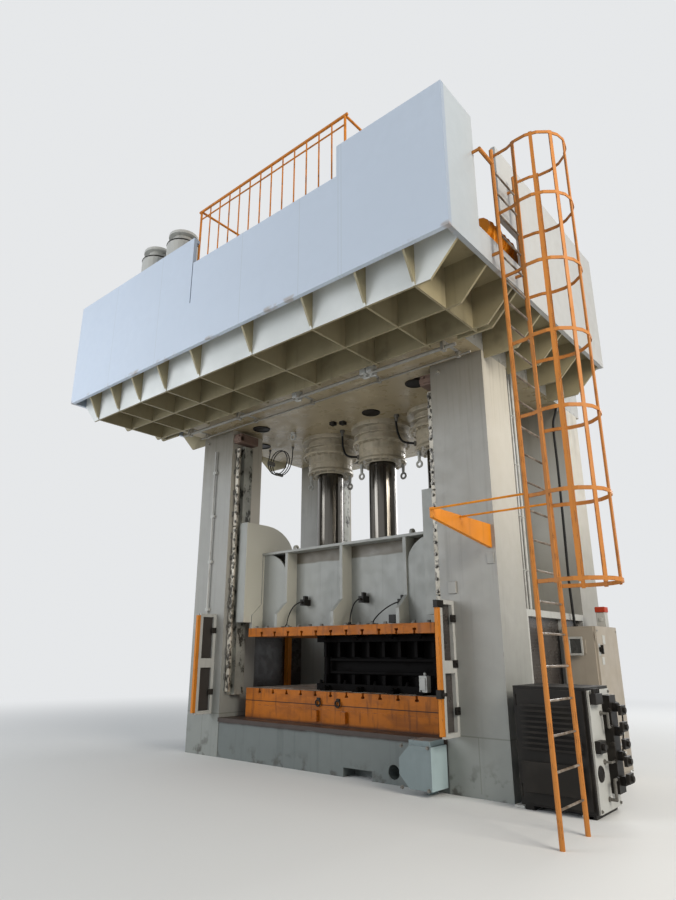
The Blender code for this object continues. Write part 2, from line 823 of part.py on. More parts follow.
def make_slide_plate():
    half = BOLSTER_WIDTH / 2
    outline = slotted_outline(half, PLATE_FOOT, PLATE_TOP, False)
    part("slide_plate", "orange_paint", [plate([outline], "xz", -PLATE_DEPTH / 2, PLATE_DEPTH / 2)])


# Crown and cylinders
def make_crown():
    body = box((-OUTER_X, -CROWN_FRONT, CROWN_FOOT), (OUTER_X, CROWN_REAR, CROWN_TOP))
    cuts = []
    for x in spread(CYLINDER_COUNT, CYLINDER_PITCH):
        cuts.append(
            bar(
                (x, 0.0, CROWN_FOOT - OVERRUN),
                (x, 0.0, CROWN_TOP + OVERRUN),
                CYLINDER_RADIUS + GAP,
                ROUND,
            )
        )
    for sx, sy in CORNERS.values():
        x, y = sx * CROWN_HOLE_X, sy * CROWN_HOLE_Y
        cuts.append(
            bar(
                (x, y, CROWN_FOOT - OVERRUN),
                (x, y, CROWN_FOOT + CROWN_HOLE_DEPTH),
                CROWN_HOLE_RADIUS,
                SMALL_ROUND,
            )
        )
    nuts = [
        bar(
            (sx * SIDE_X, sy * SIDE_Y, CROWN_TOP - SINK),
            (sx * SIDE_X, sy * SIDE_Y, CROWN_TOP + NUT_HEIGHT),
            NUT_RADIUS,
            6,
        )
        for sx, sy in CORNERS.values()
    ]
    part("crown", "deck_paint", [body] + nuts, cuts)


def make_cylinder(side, x):
    top = CYLINDER_HEIGHT
    bore_top = top - CYLINDER_CAP
    collar = CROWN_TOP + GAP - CYLINDER_FOOT
    shell = turned(
        [
            (0.0, top),
            (CYLINDER_RADIUS - SINK * 4, top),
            (CYLINDER_RADIUS, top - SINK * 4),
            (CYLINDER_RADIUS, collar + CYLINDER_COLLAR_HEIGHT),
            (CYLINDER_COLLAR, collar + CYLINDER_COLLAR_HEIGHT),
            (CYLINDER_COLLAR, collar),
            (CYLINDER_RADIUS, collar),
            (CYLINDER_RADIUS, SINK),
            (CYLINDER_RADIUS - SINK, 0.0),
            (BORE_RADIUS, 0.0),
            (BORE_RADIUS, bore_top),
            (0.0, bore_top),
        ],
        (x, 0.0, CYLINDER_FOOT),
    )
    part("cylinder_" + side, "cast_iron", [shell], smooth=True)
    inner = ROD_RADIUS + RUNNING_GAP
    gland = turned(
        [
            (GLAND_RADIUS, GLAND_HEIGHT),
            (GLAND_RADIUS, GLAND_STEP),
            (GLAND_RADIUS - GLAND_STEP, 0.0),
            (inner, 0.0),
            (inner, GLAND_HEIGHT),
            (GLAND_RADIUS, GLAND_HEIGHT),
        ],
        (x, 0.0, GLAND_FOOT),
    )
    part("gland_" + side, "cast_iron", [gland], smooth=True)
    foot = SLIDE_TOP - ROD_FLANGE_HEIGHT
    tip = CYLINDER_FOOT + ROD_REACH - foot
    rod = turned(
        [
            (0.0, tip),
            (PISTON_RADIUS, tip),
            (PISTON_RADIUS, tip - PISTON_HEIGHT),
            (ROD_RADIUS, tip - PISTON_HEIGHT),
            (ROD_RADIUS, ROD_FLANGE_HEIGHT),
            (ROD_FLANGE_RADIUS, ROD_FLANGE_HEIGHT),
            (ROD_FLANGE_RADIUS, 0.0),
            (0.0, 0.0),
        ],
        (x, 0.0, foot),
    )
    part("piston_rod_" + side, "chrome", [rod], smooth=True)


def make_cylinders():
    for side, x in zip(("left", "centre", "right"), spread(CYLINDER_COUNT, CYLINDER_PITCH)):
        make_cylinder(side, x)


# Service deck
def rib_outline():
    """A deck rib from the side: deep at the crown, its nose rising to the fascia."""
    rear = -CROWN_FRONT - GAP
    front = -INNER_FRONT
    return [
        (front, DECK_UNDER + SINK),
        (front, FASCIA_FOOT),
        (front + RIB_NOSE, RIB_FOOT),
        (rear, RIB_FOOT),
        (rear, DECK_UNDER + SINK),
    ]


def beam_outline():
    """A cross beam of the deck from the front: both ends taper up to the side fascias."""
    half = INNER_HALF
    return [
        (-half, DECK_UNDER + SINK),
        (-half, FASCIA_FOOT),
        (-half + SIDE_NOSE, RIB_FOOT),
        (half - SIDE_NOSE, RIB_FOOT),
        (half, FASCIA_FOOT),
        (half, DECK_UNDER + SINK),
    ]


def make_front_deck():
    """The egg-crate under the front of the deck: ribs, cross beams and the floor plate."""
    shapes = [
        box((-INNER_HALF, -INNER_FRONT, DECK_UNDER), (INNER_HALF, -CROWN_FRONT - GAP, DECK_TOP))
    ]
    for x in RIB_PLACES:
        shapes.append(plate([rib_outline()], "yz", x - RIB_THICK / 2, x + RIB_THICK / 2))
    for index in range(BEAM_COUNT):
        y = -INNER_FRONT + BEAM_SETBACK + index * BEAM_PITCH
        shapes.append(plate([beam_outline()], "xz", y - RIB_THICK / 2, y + RIB_THICK / 2))
    part("front_deck", "deck_paint", shapes)


def make_side_decks():
    """A narrow deck on each side of the crown, on tapered brackets."""
    inner = OUTER_X + GAP
    for side, sign in (("left", -1), ("right", 1)):
        shapes = [
            mirrored_box(
                sign,
                1,
                (inner, -CROWN_FRONT, DECK_UNDER),
                (INNER_HALF, DECK_REAR - FASCIA_THICK - GAP, DECK_TOP),
            )
        ]
        outline = [
            (sign * inner, DECK_UNDER + SINK),
            (sign * inner, RIB_FOOT),
            (sign * (INNER_HALF - SIDE_NOSE), RIB_FOOT),
            (sign * INNER_HALF, FASCIA_FOOT),
            (sign * INNER_HALF, DECK_UNDER + SINK),
        ]
        length = CROWN_FRONT + DECK_REAR - FASCIA_THICK - GAP
        for index in range(SIDE_RIB_COUNT):
            y = -CROWN_FRONT + RIB_THICK + index * (length - RIB_THICK * 2) / (SIDE_RIB_COUNT - 1)
            shapes.append(plate([outline], "xz", y - RIB_THICK / 2, y + RIB_THICK / 2))
        part("side_deck_" + side, "deck_paint", shapes)


def make_fascias():
    """Tall sheet panels round the deck, with a low stretch at the front and a way in at the right."""
    front = [
        (-DECK_HALF, FASCIA_FOOT),
        (DECK_HALF, FASCIA_FOOT),
        (DECK_HALF, FASCIA_TOP),
        (NOTCH_RIGHT, FASCIA_TOP),
        (NOTCH_RIGHT, NOTCH_FOOT),
        (-NOTCH_LEFT + SEAM_WIDTH, NOTCH_FOOT),
        (-NOTCH_LEFT + SEAM_WIDTH, SEAM_FOOT),
        (-NOTCH_LEFT, SEAM_FOOT),
        (-NOTCH_LEFT, FASCIA_TOP),
        (-DECK_HALF, FASCIA_TOP),
    ]
    panel = plate([front], "xz", -DECK_FRONT, -DECK_FRONT + FASCIA_THICK)
    edge = DECK_HALF - FASCIA_THICK - GAP
    lips = [
        box(
            (low_x, -DECK_FRONT + FASCIA_THICK / 2, top - FASCIA_THICK),
            (high_x, -DECK_FRONT + FASCIA_THICK + LIP_WIDTH, top - LIP_DROP),
        )
        for low_x, high_x, top in (
            (-edge, -NOTCH_LEFT - LIP_DROP, FASCIA_TOP),
            (NOTCH_RIGHT + LIP_DROP, edge, FASCIA_TOP),
            (-NOTCH_LEFT + SEAM_WIDTH + LIP_DROP, NOTCH_RIGHT + LIP_WIDTH, NOTCH_FOOT),
        )
    ]
    part("front_fascia", "fascia_paint", [panel] + lips)
    start = -DECK_FRONT + FASCIA_THICK + LIP_WIDTH + GAP
    near = -DECK_FRONT + FASCIA_THICK + GAP
    right = [
        (near, FASCIA_FOOT),
        (DECK_REAR, FASCIA_FOOT),
        (DECK_REAR, FASCIA_TOP),
        (-DOOR_REAR, FASCIA_TOP),
        (-DOOR_REAR, HATCH_TOP),
        (-HATCH_REAR, HATCH_TOP),
        (-HATCH_REAR, DOOR_SILL),
        (-DOOR_FRONT, DOOR_SILL),
        (-DOOR_FRONT, FASCIA_TOP),
        (near, FASCIA_TOP),
    ]
    part(
        "right_fascia",
        "fascia_paint",
        [plate([right], "yz", DECK_HALF - FASCIA_THICK, DECK_HALF)],
    )
    left = [(near, FASCIA_FOOT), (DECK_REAR, FASCIA_FOOT), (DECK_REAR, FASCIA_TOP), (near, FASCIA_TOP)]
    rim = box(
        (-DECK_HALF + FASCIA_THICK / 2, start, FASCIA_TOP - FASCIA_THICK),
        (-DECK_HALF + FASCIA_THICK + LIP_WIDTH, DECK_REAR - FASCIA_THICK - GAP, FASCIA_TOP - LIP_DROP),
    )
    part(
        "left_fascia",
        "fascia_paint",
        [plate([left], "yz", -DECK_HALF, -DECK_HALF + FASCIA_THICK), rim],
    )
    edge = OUTER_X + REAR_PANEL_CLEAR
    over = CROWN_TOP + GAP
    half = DECK_HALF - FASCIA_THICK - GAP
    rear = [
        (-half, FASCIA_FOOT),
        (-edge, FASCIA_FOOT),
        (-edge, over),
        (edge, over),
        (edge, FASCIA_FOOT),
        (half, FASCIA_FOOT),
        (half, FASCIA_TOP - FASCIA_THICK - GAP),
        (-half, FASCIA_TOP - FASCIA_THICK - GAP),
    ]
    part("rear_fascia", "fascia_paint", [plate([rear], "xz", DECK_REAR - FASCIA_THICK, DECK_REAR)])


def make_handrails():
    """The orange rail over the low stretch of the front, and one along the crown's rear edge."""
    y = -DECK_FRONT + HANDRAIL_SETBACK
    left, right = -NOTCH_LEFT - RAIL_TUBE * 2, NOTCH_RIGHT + RAIL_TUBE * 2
    foot = DECK_TOP + GAP
    back = y + HANDRAIL_RETURN
    over = RAIL_TUBE * 2
    shapes = [bar((left - over, y, HANDRAIL_TOP), (right + over, y, HANDRAIL_TOP), RAIL_TUBE)]
    for x in (left, right):
        shapes.append(bar((x, y, foot), (x, y, HANDRAIL_TOP), POST_TUBE))
        shapes.append(bar((x, back, foot), (x, back, HANDRAIL_TOP + POST_TUBE / 2), POST_TUBE))
        shapes.append(bar((x, y, HANDRAIL_TOP), (x, back + over, HANDRAIL_TOP), POST_TUBE + GAP))
    for z in (HANDRAIL_MID, NOTCH_FOOT + OVERRUN):
        shapes.append(bar((left, y, z), (right, y, z), BALUSTER + GAP, THIN_ROUND))
    step = (right - left) / (BALUSTER_COUNT + 1)
    for index in range(BALUSTER_COUNT):
        x = left + (index + 1) * step
        shapes.append(bar((x, y, NOTCH_FOOT + OVERRUN), (x, y, HANDRAIL_TOP), BALUSTER, THIN_ROUND))
    part("front_handrail", "orange_paint", shapes)

    y = CROWN_REAR - HANDRAIL_SETBACK
    half = OUTER_X - HANDRAIL_SETBACK
    foot = CROWN_TOP + GAP
    top = foot + REAR_RAIL_HEIGHT
    shapes = [bar((-half - RAIL_TUBE * 2, y, top), (half + RAIL_TUBE * 2, y, top), RAIL_TUBE)]
    shapes.append(bar((-half, y, (foot + top) / 2), (half, y, (foot + top) / 2), BALUSTER))
    for x in spread(REAR_RAIL_POSTS, half * 2 / (REAR_RAIL_POSTS - 1)):
        shapes.append(bar((x, y, foot), (x, y, top), POST_TUBE))
    part("rear_handrail", "orange_paint", shapes)


# Ladder
def stile_x(z):
    """Where the leaning ladder's stiles stand at a height."""
    return LADDER_X - LADDER_LEAN * z / LADDER_TOP


def make_ladder():
    lean = Matrix.Identity(4)
    lean[0][2] = -LADDER_LEAN / LADDER_TOP
    shapes = []
    for y in (-LADDER_FRONT, -LADDER_REAR):
        stile = bar((LADDER_X, y, 0.0), (LADDER_X, y, LADDER_TOP), STILE_RADIUS)
        stile.data.transform(lean)
        shapes.append(stile)
    count = int((LADDER_TOP - RUNG_FIRST) / RUNG_PITCH) + 1
    for index in range(count):
        z = RUNG_FIRST + index * RUNG_PITCH
        shapes.append(
            bar((stile_x(z), -LADDER_FRONT, z), (stile_x(z), -LADDER_REAR, z), RUNG_RADIUS, THIN_ROUND)
        )
    # The front stile's upper arm reaches past the way in, to the panel before it
    beyond = -DOOR_FRONT - LUG_SETBACK
    x = stile_x(LUG_HIGH)
    shapes.append(bar((x, -LADDER_FRONT, LUG_HIGH), (x, beyond - SINK, LUG_HIGH), STILE_RADIUS - GAP))
    places = [(-LADDER_FRONT, LUG_LOW), (-LADDER_REAR, LUG_LOW), (-LADDER_REAR, LUG_HIGH), (beyond, LUG_HIGH)]
    for y, z in places:
        shapes.append(
            box(
                (DECK_HALF + GAP, y - LUG_THICK / 2, z - LUG_HEIGHT / 3),
                (stile_x(z), y + LUG_THICK / 2, z + LUG_HEIGHT / 3),
            )
        )
    part("ladder", "orange_paint", shapes)


def make_cage():
    """Hoops that spring from the stiles, joined by upright bands."""
    middle = -(LADDER_FRONT + LADDER_REAR) / 2
    outer = arc((CAGE_X, middle), CAGE_RADIUS, -CAGE_WRAP, CAGE_WRAP, HOOP_STEPS)
    inner = arc((CAGE_X, middle), CAGE_RADIUS - BAND_THICK, CAGE_WRAP, -CAGE_WRAP, HOOP_STEPS)
    top = CAGE_FOOT + (CAGE_HOOPS - 1) * CAGE_PITCH + BAND_WIDTH
    shapes = []
    for index in range(CAGE_BARS):
        angle = math.radians((index - (CAGE_BARS - 1) / 2) * CAGE_BAR_ARC)
        radius = CAGE_RADIUS - BAND_THICK * 3 / 2
        upright = box(
            (-BAND_THICK / 2, -BAND_WIDTH / 2, CAGE_FOOT),
            (BAND_THICK, BAND_WIDTH / 2, top),
        )
        turn = Matrix.Translation(
            (CAGE_X + radius * math.cos(angle), middle + radius * math.sin(angle), 0.0)
        ) @ Matrix.Rotation(angle, 4, "Z")
        upright.data.transform(turn)
        shapes.append(upright)
    for index in range(CAGE_HOOPS):
        inward = 1 if index < CAGE_HOOPS - 1 else -1
        foot = CAGE_FOOT + index * CAGE_PITCH + inward * BAND_WIDTH / 4
        seat = stile_x(foot) + STILE_RADIUS + GAP
        ends = [(seat, -LADDER_REAR + BAND_THICK / 2), (seat, -LADDER_REAR - BAND_THICK / 2)]
        starts = [(seat, -LADDER_FRONT + BAND_THICK / 2), (seat, -LADDER_FRONT - BAND_THICK / 2)]
        shapes.append(plate([outer + ends + inner + starts], "xy", foot, foot + BAND_WIDTH))
    part("ladder_cage", "orange_paint", shapes)


def make_ladder_stay():
    """A tapered arm from the front column, and two bars out to the ladder's stiles."""
    front = -COLUMN_FRONT - GAP
    arm = plate(
        [
            [
                (front, STAY_Z - STAY_ROOT),
                (front, STAY_Z),
                (front - STAY_REACH, STAY_Z),
                (front - STAY_REACH, STAY_Z - STAY_TIP),
            ]
        ],
        "yz",
        STAY_X,
        STAY_X + STAY_THICK,
    )
    level = STAY_Z - STAY_BAR * 2
    reach = stile_x(level) - STILE_RADIUS - GAP
    bars = [
        bar((STAY_X + SINK, y, level), (reach, y, level), STAY_BAR)
        for y in (-LADDER_FRONT + STAY_BAR, -LADDER_REAR)
    ]
    part("ladder_stay", "orange_paint", [arm] + bars)


# Front guards and drive cover
def guard_shapes(x, pane_shift):
    """One guard's frame, pane and front post, with its frame's middle plane at x."""
    foot, top = GUARD_FOOT, GUARD_FOOT + GUARD_HEIGHT
    middle = (foot + top) / 2
    back = -COLUMN_FRONT - GAP
    front = back - GUARD_REACH
    near, far = x - GUARD_THICK / 2, x + GUARD_THICK / 2
    frame = [(front, foot), (back, foot), (back, top), (front, top)]
    holes = [
        [
            (front + GUARD_RIM, low),
            (back - GUARD_RIM, low),
            (back - GUARD_RIM, high),
            (front + GUARD_RIM, high),
        ]
        for low, high in (
            (foot + GUARD_RIM, middle - GUARD_BAR / 2),
            (middle + GUARD_BAR / 2, top - GUARD_RIM),
        )
    ]
    pane = box(
        (near + pane_shift - GUARD_PANE, front + GUARD_RIM / 2, foot + GUARD_RIM / 2),
        (near + pane_shift, back - GUARD_RIM / 2, top - GUARD_RIM / 2),
    )
    post = box(
        (far - GUARD_STRIP, front - GAP - GUARD_STRIP_DEPTH, foot + GUARD_STRIP_INSET),
        (far, front - GAP, top - GUARD_STRIP_INSET),
    )
    return plate([frame] + holes, "yz", near, far), pane, post


def make_guards():
    """The right guard has a pane of its own; the left one's pane is fused to its frame."""
    frame, pane, post = guard_shapes(GUARD_RIGHT_X, -GAP)
    frame_left, pane_left, post_left = guard_shapes(-GUARD_LEFT_X, SINK)
    part("guard_frame", "white_paint", [frame])
    part("guard_frame_left", "white_paint", [frame_left, pane_left])
    part("guard_pane", "dark_paint", [pane])
    part("guard_strip", "orange_paint", [post])
    part("guard_strip_left", "orange_paint", [post_left])


def make_drive_cover():
    """A chamfered cover against the bed and column, with a small cap on top."""
    left, right = COVER_LEFT, COVER_LEFT + COVER_WIDTH
    foot, top = COVER_FOOT, COVER_FOOT + COVER_HEIGHT
    chamfer = COVER_CHAMFER
    outline = [
        (left + chamfer, foot),
        (right, foot),
        (right, top),
        (left + chamfer, top),
        (left, top - chamfer),
        (left, foot + chamfer),
    ]
    back = -BED_DEPTH / 2 - BED_LIP - GAP
    front = back - COVER_DEPTH
    shell = plate([outline], "xz", front, back)
    cap = box(
        (right - COVER_CAP_WIDTH, front + chamfer / 4, top - SINK),
        (right - chamfer / 4, back, top + COVER_CAP_HEIGHT / 2),
    )
    foot_block = box((left + chamfer * 2, front + chamfer, 0.0), (right - chamfer, back, foot + SINK))
    part("drive_cover", "fascia_paint", [shell, cap, foot_block])


# Side windows
def make_side_guards():
    """A framed dark guard low in each side window, between the columns."""
    reach = COLUMN_FRONT - COLUMN_DEPTH - GAP
    low, high = SIDE_GUARD_FOOT, SIDE_GUARD_TOP
    rim, beam = SIDE_GUARD_RIM, SIDE_GUARD_BEAM
    post_front = SIDE_GUARD_POST_Y - SIDE_GUARD_POST / 2
    post_back = SIDE_GUARD_POST_Y + SIDE_GUARD_POST / 2
    frame = [(-reach, low), (reach, low), (reach, high), (-reach, high)]
    panes = [
        [(left, low + rim), (right, low + rim), (right, high - beam), (left, high - beam)]
        for left, right in ((-reach + rim, post_front), (post_back, reach - rim))
    ]
    for side, sign in (("left", -1), ("right", 1)):
        levels = sorted((sign * (OUTER_X - SIDE_GUARD_THICK), sign * OUTER_X))
        part("side_guard_" + side, "white_paint", [plate([frame] + panes, "yz", *levels)])
        pane = mirrored_box(
            sign,
            1,
            (OUTER_X - SIDE_GUARD_THICK - GAP - SIDE_PANE, -reach + rim / 2, low + rim / 2),
            (OUTER_X - SIDE_GUARD_THICK - GAP, reach - rim / 2, high - rim / 2),
        )
        part("side_guard_pane_" + side, "dark_paint", [pane])
    inner = OUTER_X - SIDE_GUARD_THICK - SIDE_PANE - GAP * 2
    post = box(
        (-inner, POST_Y - POST_SIDE / 2, 0.0),
        (-inner + POST_SIDE, POST_Y + POST_SIDE / 2, SIDE_GUARD_TOP),
    )
    part("guard_post", "orange_paint", [post])


def pull_handle(x, face, middle):
    """A door's upright pull: a round bar on two stubs that stand off the door's face."""
    out = face - HANDLE_STAND
    low, high = middle - HANDLE_LENGTH / 2, middle + HANDLE_LENGTH / 2
    shapes = [bar((x, out, low), (x, out, high), HANDLE_RADIUS)]
    for z in (low + HANDLE_RADIUS * 2, high - HANDLE_RADIUS * 2):
        shapes.append(bar((x, out, z), (x, face + SINK, z), HANDLE_RADIUS * 3 / 4))
    return shapes


# Pump unit
def make_pump_unit():
    left, right = PUMP_LEFT, PUMP_LEFT + PUMP_WIDTH
    front, back = -PUMP_FRONT, -PUMP_FRONT + PUMP_DEPTH
    top = PUMP_FOOT + PUMP_HEIGHT
    door_top = top - PUMP_DOOR_MARGIN
    door_foot = PUMP_FOOT + PUMP_DOOR_MARGIN
    body = box((left, front, PUMP_FOOT), (right, back, top))
    feet = [
        box(
            (x, front + PUMP_DOOR_MARGIN, 0.0),
            (x + PUMP_FOOT * 2, back - PUMP_DOOR_MARGIN, PUMP_FOOT + SINK),
        )
        for x in (left + PUMP_DOOR_MARGIN, right - PUMP_DOOR_MARGIN - PUMP_FOOT * 2)
    ]
    brackets = [
        box(
            (OUTER_X + GAP, -PUMP_BRACKET_Y - PUMP_BRACKET / 2, z - PUMP_BRACKET / 2),
            (left + SINK, -PUMP_BRACKET_Y + PUMP_BRACKET / 2, z + PUMP_BRACKET / 2),
        )
        for z in (PUMP_FOOT + PUMP_HEIGHT / 4, PUMP_FOOT + PUMP_HEIGHT * 3 / 4)
    ]
    part("pump_cabinet", "dark_paint", [body] + feet + brackets)
    axis = (left + PUMP_DOOR_MARGIN, front - GAP - PUMP_DOOR_THICK / 2, 0.0)
    door = box(
        (axis[0] + PUMP_HINGE_RADIUS * 3 / 2, front - GAP - PUMP_DOOR_THICK, door_foot),
        (right - PUMP_DOOR_MARGIN, front - GAP, door_top),
    )
    grip_x = right - PUMP_DOOR_MARGIN * 3
    grip_y = front - GAP - PUMP_DOOR_THICK
    middle = (door_foot + door_top) / 2
    grip = pull_handle(grip_x, grip_y, middle)
    knuckles = [
        bar((*axis[:2], z - HINGE_LENGTH / 2), (*axis[:2], z + HINGE_LENGTH / 2), PUMP_HINGE_RADIUS)
        for z in (door_foot + HINGE_LENGTH, door_top - HINGE_LENGTH)
    ]
    leaves = [
        box(
            (axis[0], axis[1] - HANDLE_RADIUS / 2, z - HINGE_LENGTH / 2 + SINK),
            (axis[0] + PUMP_HINGE_RADIUS * 3, axis[1] + HANDLE_RADIUS / 2, z + HINGE_LENGTH / 2 - SINK),
        )
        for z in (door_foot + HINGE_LENGTH, door_top - HINGE_LENGTH)
    ]
    part("pump_cabinet_door", "dark_paint", [door] + grip + knuckles + leaves, pivot=axis)
    side = box(
        (right + GAP, front + PUMP_DOOR_MARGIN, PUMP_FOOT),
        (right + GAP + PUMP_PLATE, back - PUMP_DOOR_MARGIN, top - PUMP_DOOR_MARGIN),
    )
    part("pump_side_panel", "white_paint", [side])

    face = right + PUMP_PLATE + GAP * 2
    block = box(
        (face, -MANIFOLD_Y - MANIFOLD_WIDTH / 2, MANIFOLD_FOOT),
        (face + MANIFOLD_DEPTH, -MANIFOLD_Y + MANIFOLD_WIDTH / 2, MANIFOLD_FOOT + MANIFOLD_HEIGHT),
    )
    valves = []
    for index in range(VALVE_COUNT):
        z = MANIFOLD_FOOT + MANIFOLD_HEIGHT * (index + 1 / 2) / VALVE_COUNT
        valves.append(
            box(
                (face + MANIFOLD_DEPTH - SINK, -MANIFOLD_Y - VALVE_SIDE / 2, z - VALVE_SIDE / 2),
                (face + MANIFOLD_DEPTH + VALVE_LENGTH / 3, -MANIFOLD_Y + VALVE_SIDE / 2, z + VALVE_SIDE / 2),
            )
        )
        valves.append(
            bar(
                (face + MANIFOLD_DEPTH, -MANIFOLD_Y, z),
                (face + VALVE_LENGTH, -MANIFOLD_Y, z),
                VALVE_SIDE / 3,
            )
        )
    part("valve_manifold", "dark_paint", [block] + valves)


# Control cabinet
def make_control_cabinet():
    left, right = CABINET_LEFT, CABINET_LEFT + CABINET_WIDTH
    front, back = CABINET_FRONT, CABINET_FRONT + CABINET_DEPTH
    top = CABINET_FOOT + CABINET_HEIGHT
    shell = box((left, front, CABINET_FOOT), (right, back, top))
    plinth = box(
        (left + CABINET_WALL, front + CABINET_WALL, 0.0),
        (right - CABINET_WALL, back - CABINET_WALL, CABINET_FOOT + SINK),
    )
    hollow = box(
        (left + CABINET_WALL, front - OVERRUN, CABINET_FOOT + CABINET_WALL),
        (right - CABINET_WALL, back - CABINET_WALL, top - CABINET_WALL),
    )
    part("control_cabinet", "cabinet_paint", [shell, plinth], [hollow])
    face = front - GAP
    axis = (right - HINGE_RADIUS, face - CABINET_DOOR / 2, 0.0)
    foot, door_top = CABINET_FOOT + CABINET_MARGIN, top - CABINET_MARGIN
    door = box(
        (left + CABINET_MARGIN, face - CABINET_DOOR, foot),
        (axis[0] - HINGE_RADIUS * 3 / 2, face, door_top),
    )
    middle = (left + right) / 2
    half = WINDOW_SIDE / 2
    outer = half + WINDOW_RIM
    rim = plate(
        [
            [
                (middle - outer, WINDOW_Z - outer),
                (middle + outer, WINDOW_Z - outer),
                (middle + outer, WINDOW_Z + outer),
                (middle - outer, WINDOW_Z + outer),
            ],
        ],
        "xz",
        face - CABINET_DOOR - HINGE_RADIUS,
        face - CABINET_DOOR + SINK,
    )
    recess = box(
        (middle - half, face - CABINET_DOOR - OVERRUN, WINDOW_Z - half),
        (middle + half, face - CABINET_DOOR / 2, WINDOW_Z + half),
    )
    shapes = [door, rim]
    for z in (foot + HINGE_LENGTH, (foot + door_top) / 2, door_top - HINGE_LENGTH):
        shapes.append(
            bar((*axis[:2], z - HINGE_LENGTH / 2), (*axis[:2], z + HINGE_LENGTH / 2), HINGE_RADIUS)
        )
        shapes.append(
            box(
                (axis[0] - HINGE_RADIUS * 3, axis[1] - HANDLE_RADIUS / 2, z - HINGE_LENGTH / 2 + SINK),
                (axis[0], axis[1] + HANDLE_RADIUS / 2, z + HINGE_LENGTH / 2 - SINK),
            )
        )
    grip_x = left + CABINET_MARGIN * 4
    grip_y = face - CABINET_DOOR
    shapes += pull_handle(grip_x, grip_y, top / 2)
    part("control_cabinet_door", "cabinet_paint", shapes, [recess], pivot=axis)

    pivot = (right + GAP, front + SWITCH_Y, SWITCH_Z)
    knob = [
        bar(pivot, (pivot[0] + SWITCH_DEPTH, pivot[1], pivot[2]), SWITCH_RADIUS, ROUND // 2),
        box(
            (pivot[0] + SWITCH_DEPTH - SINK, pivot[1] - SWITCH_BAR / 2, pivot[2] - SWITCH_LENGTH / 2),
            (pivot[0] + SWITCH_DEPTH + SWITCH_BAR, pivot[1] + SWITCH_BAR / 2, pivot[2] + SWITCH_LENGTH / 2),
        ),
    ]
    part("main_switch_handle", "dark_paint", knob, pivot=pivot)


# Pipes on the frame
def make_crown_pipe():
    """Two pipes along the front of the crown's underside, whose clips share flat hangers."""
    hanger_foot = CROWN_FOOT - GAP - HANGER_THICK
    shapes = []
    for x in spread(int(PIPE_HALF * 2 / CLIP_PITCH) + 1, CLIP_PITCH):
        left, right = x - CLIP_WIDTH / 2, x + CLIP_WIDTH / 2
        shapes.append(
            box(
                (left, -PIPE_Y - CLIP_HALF, hanger_foot),
                (right, -REAR_PIPE_Y + CLIP_HALF, CROWN_FOOT - GAP),
            )
        )
        for y, drop, half in (
            (-PIPE_Y, PIPE_DROP, CLIP_HALF - GAP),
            (-REAR_PIPE_Y, REAR_PIPE_DROP, REAR_CLIP_HALF),
        ):
            z = CROWN_FOOT - drop
            shapes.append(
                box((left + GAP, y - half, z - half), (right - GAP, y + half, hanger_foot + SINK / 2))
            )
    for y, drop, radius in (
        (-PIPE_Y, PIPE_DROP, PIPE_RADIUS),
        (-REAR_PIPE_Y, REAR_PIPE_DROP, REAR_PIPE_RADIUS),
    ):
        z = CROWN_FOOT - drop
        shapes.append(bar((-PIPE_HALF, y, z), (PIPE_HALF, y, z), radius, SMALL_ROUND))
    part("crown_pipe", "frame_paint", shapes)


def make_conduit():
    """An upright conduit on the front of the left front column."""
    y = -COLUMN_FRONT - CONDUIT_STAND
    pipe = bar((-CONDUIT_X, y, CONDUIT_FOOT), (-CONDUIT_X, y, CONDUIT_TOP), CONDUIT_RADIUS)
    rise = (CONDUIT_TOP - CONDUIT_FOOT) / CONDUIT_CLIPS
    clips = [
        box(
            (-CONDUIT_X - CLIP_HALF, y - CONDUIT_RADIUS / 2, z - CLIP_WIDTH / 2),
            (-CONDUIT_X + CLIP_HALF, -COLUMN_FRONT - GAP, z + CLIP_WIDTH / 2),
        )
        for z in [CONDUIT_FOOT + (index + 1 / 2) * rise for index in range(CONDUIT_CLIPS)]
    ]
    part("column_conduit", "white_paint", [pipe] + clips)


# Plant on the deck
def make_air_tanks():
    foot = DECK_TOP + GAP
    height = TANK_TOP - foot
    cap_foot = height - TANK_CAP
    shoulder = cap_foot - TANK_NECK
    y = -DECK_FRONT + TANK_SETBACK
    for index, side in enumerate(("right", "left")):
        tank = turned(
            [
                (0.0, height),
                (TANK_CAP_RADIUS, height),
                (TANK_CAP_RADIUS, cap_foot),
                (TANK_NECK_RADIUS, cap_foot),
                (TANK_NECK_RADIUS, shoulder),
                (TANK_RADIUS, shoulder - TANK_DOME),
                (TANK_RADIUS, TANK_FOOT),
                (TANK_RADIUS * 2 / 3, 0.0),
                (0.0, 0.0),
            ],
            (-TANK_X - index * TANK_PITCH, y, foot),
            sides=ROUND * 3 // 4,
        )
        part("air_tank_" + side, "white_paint", [tank], smooth=True)


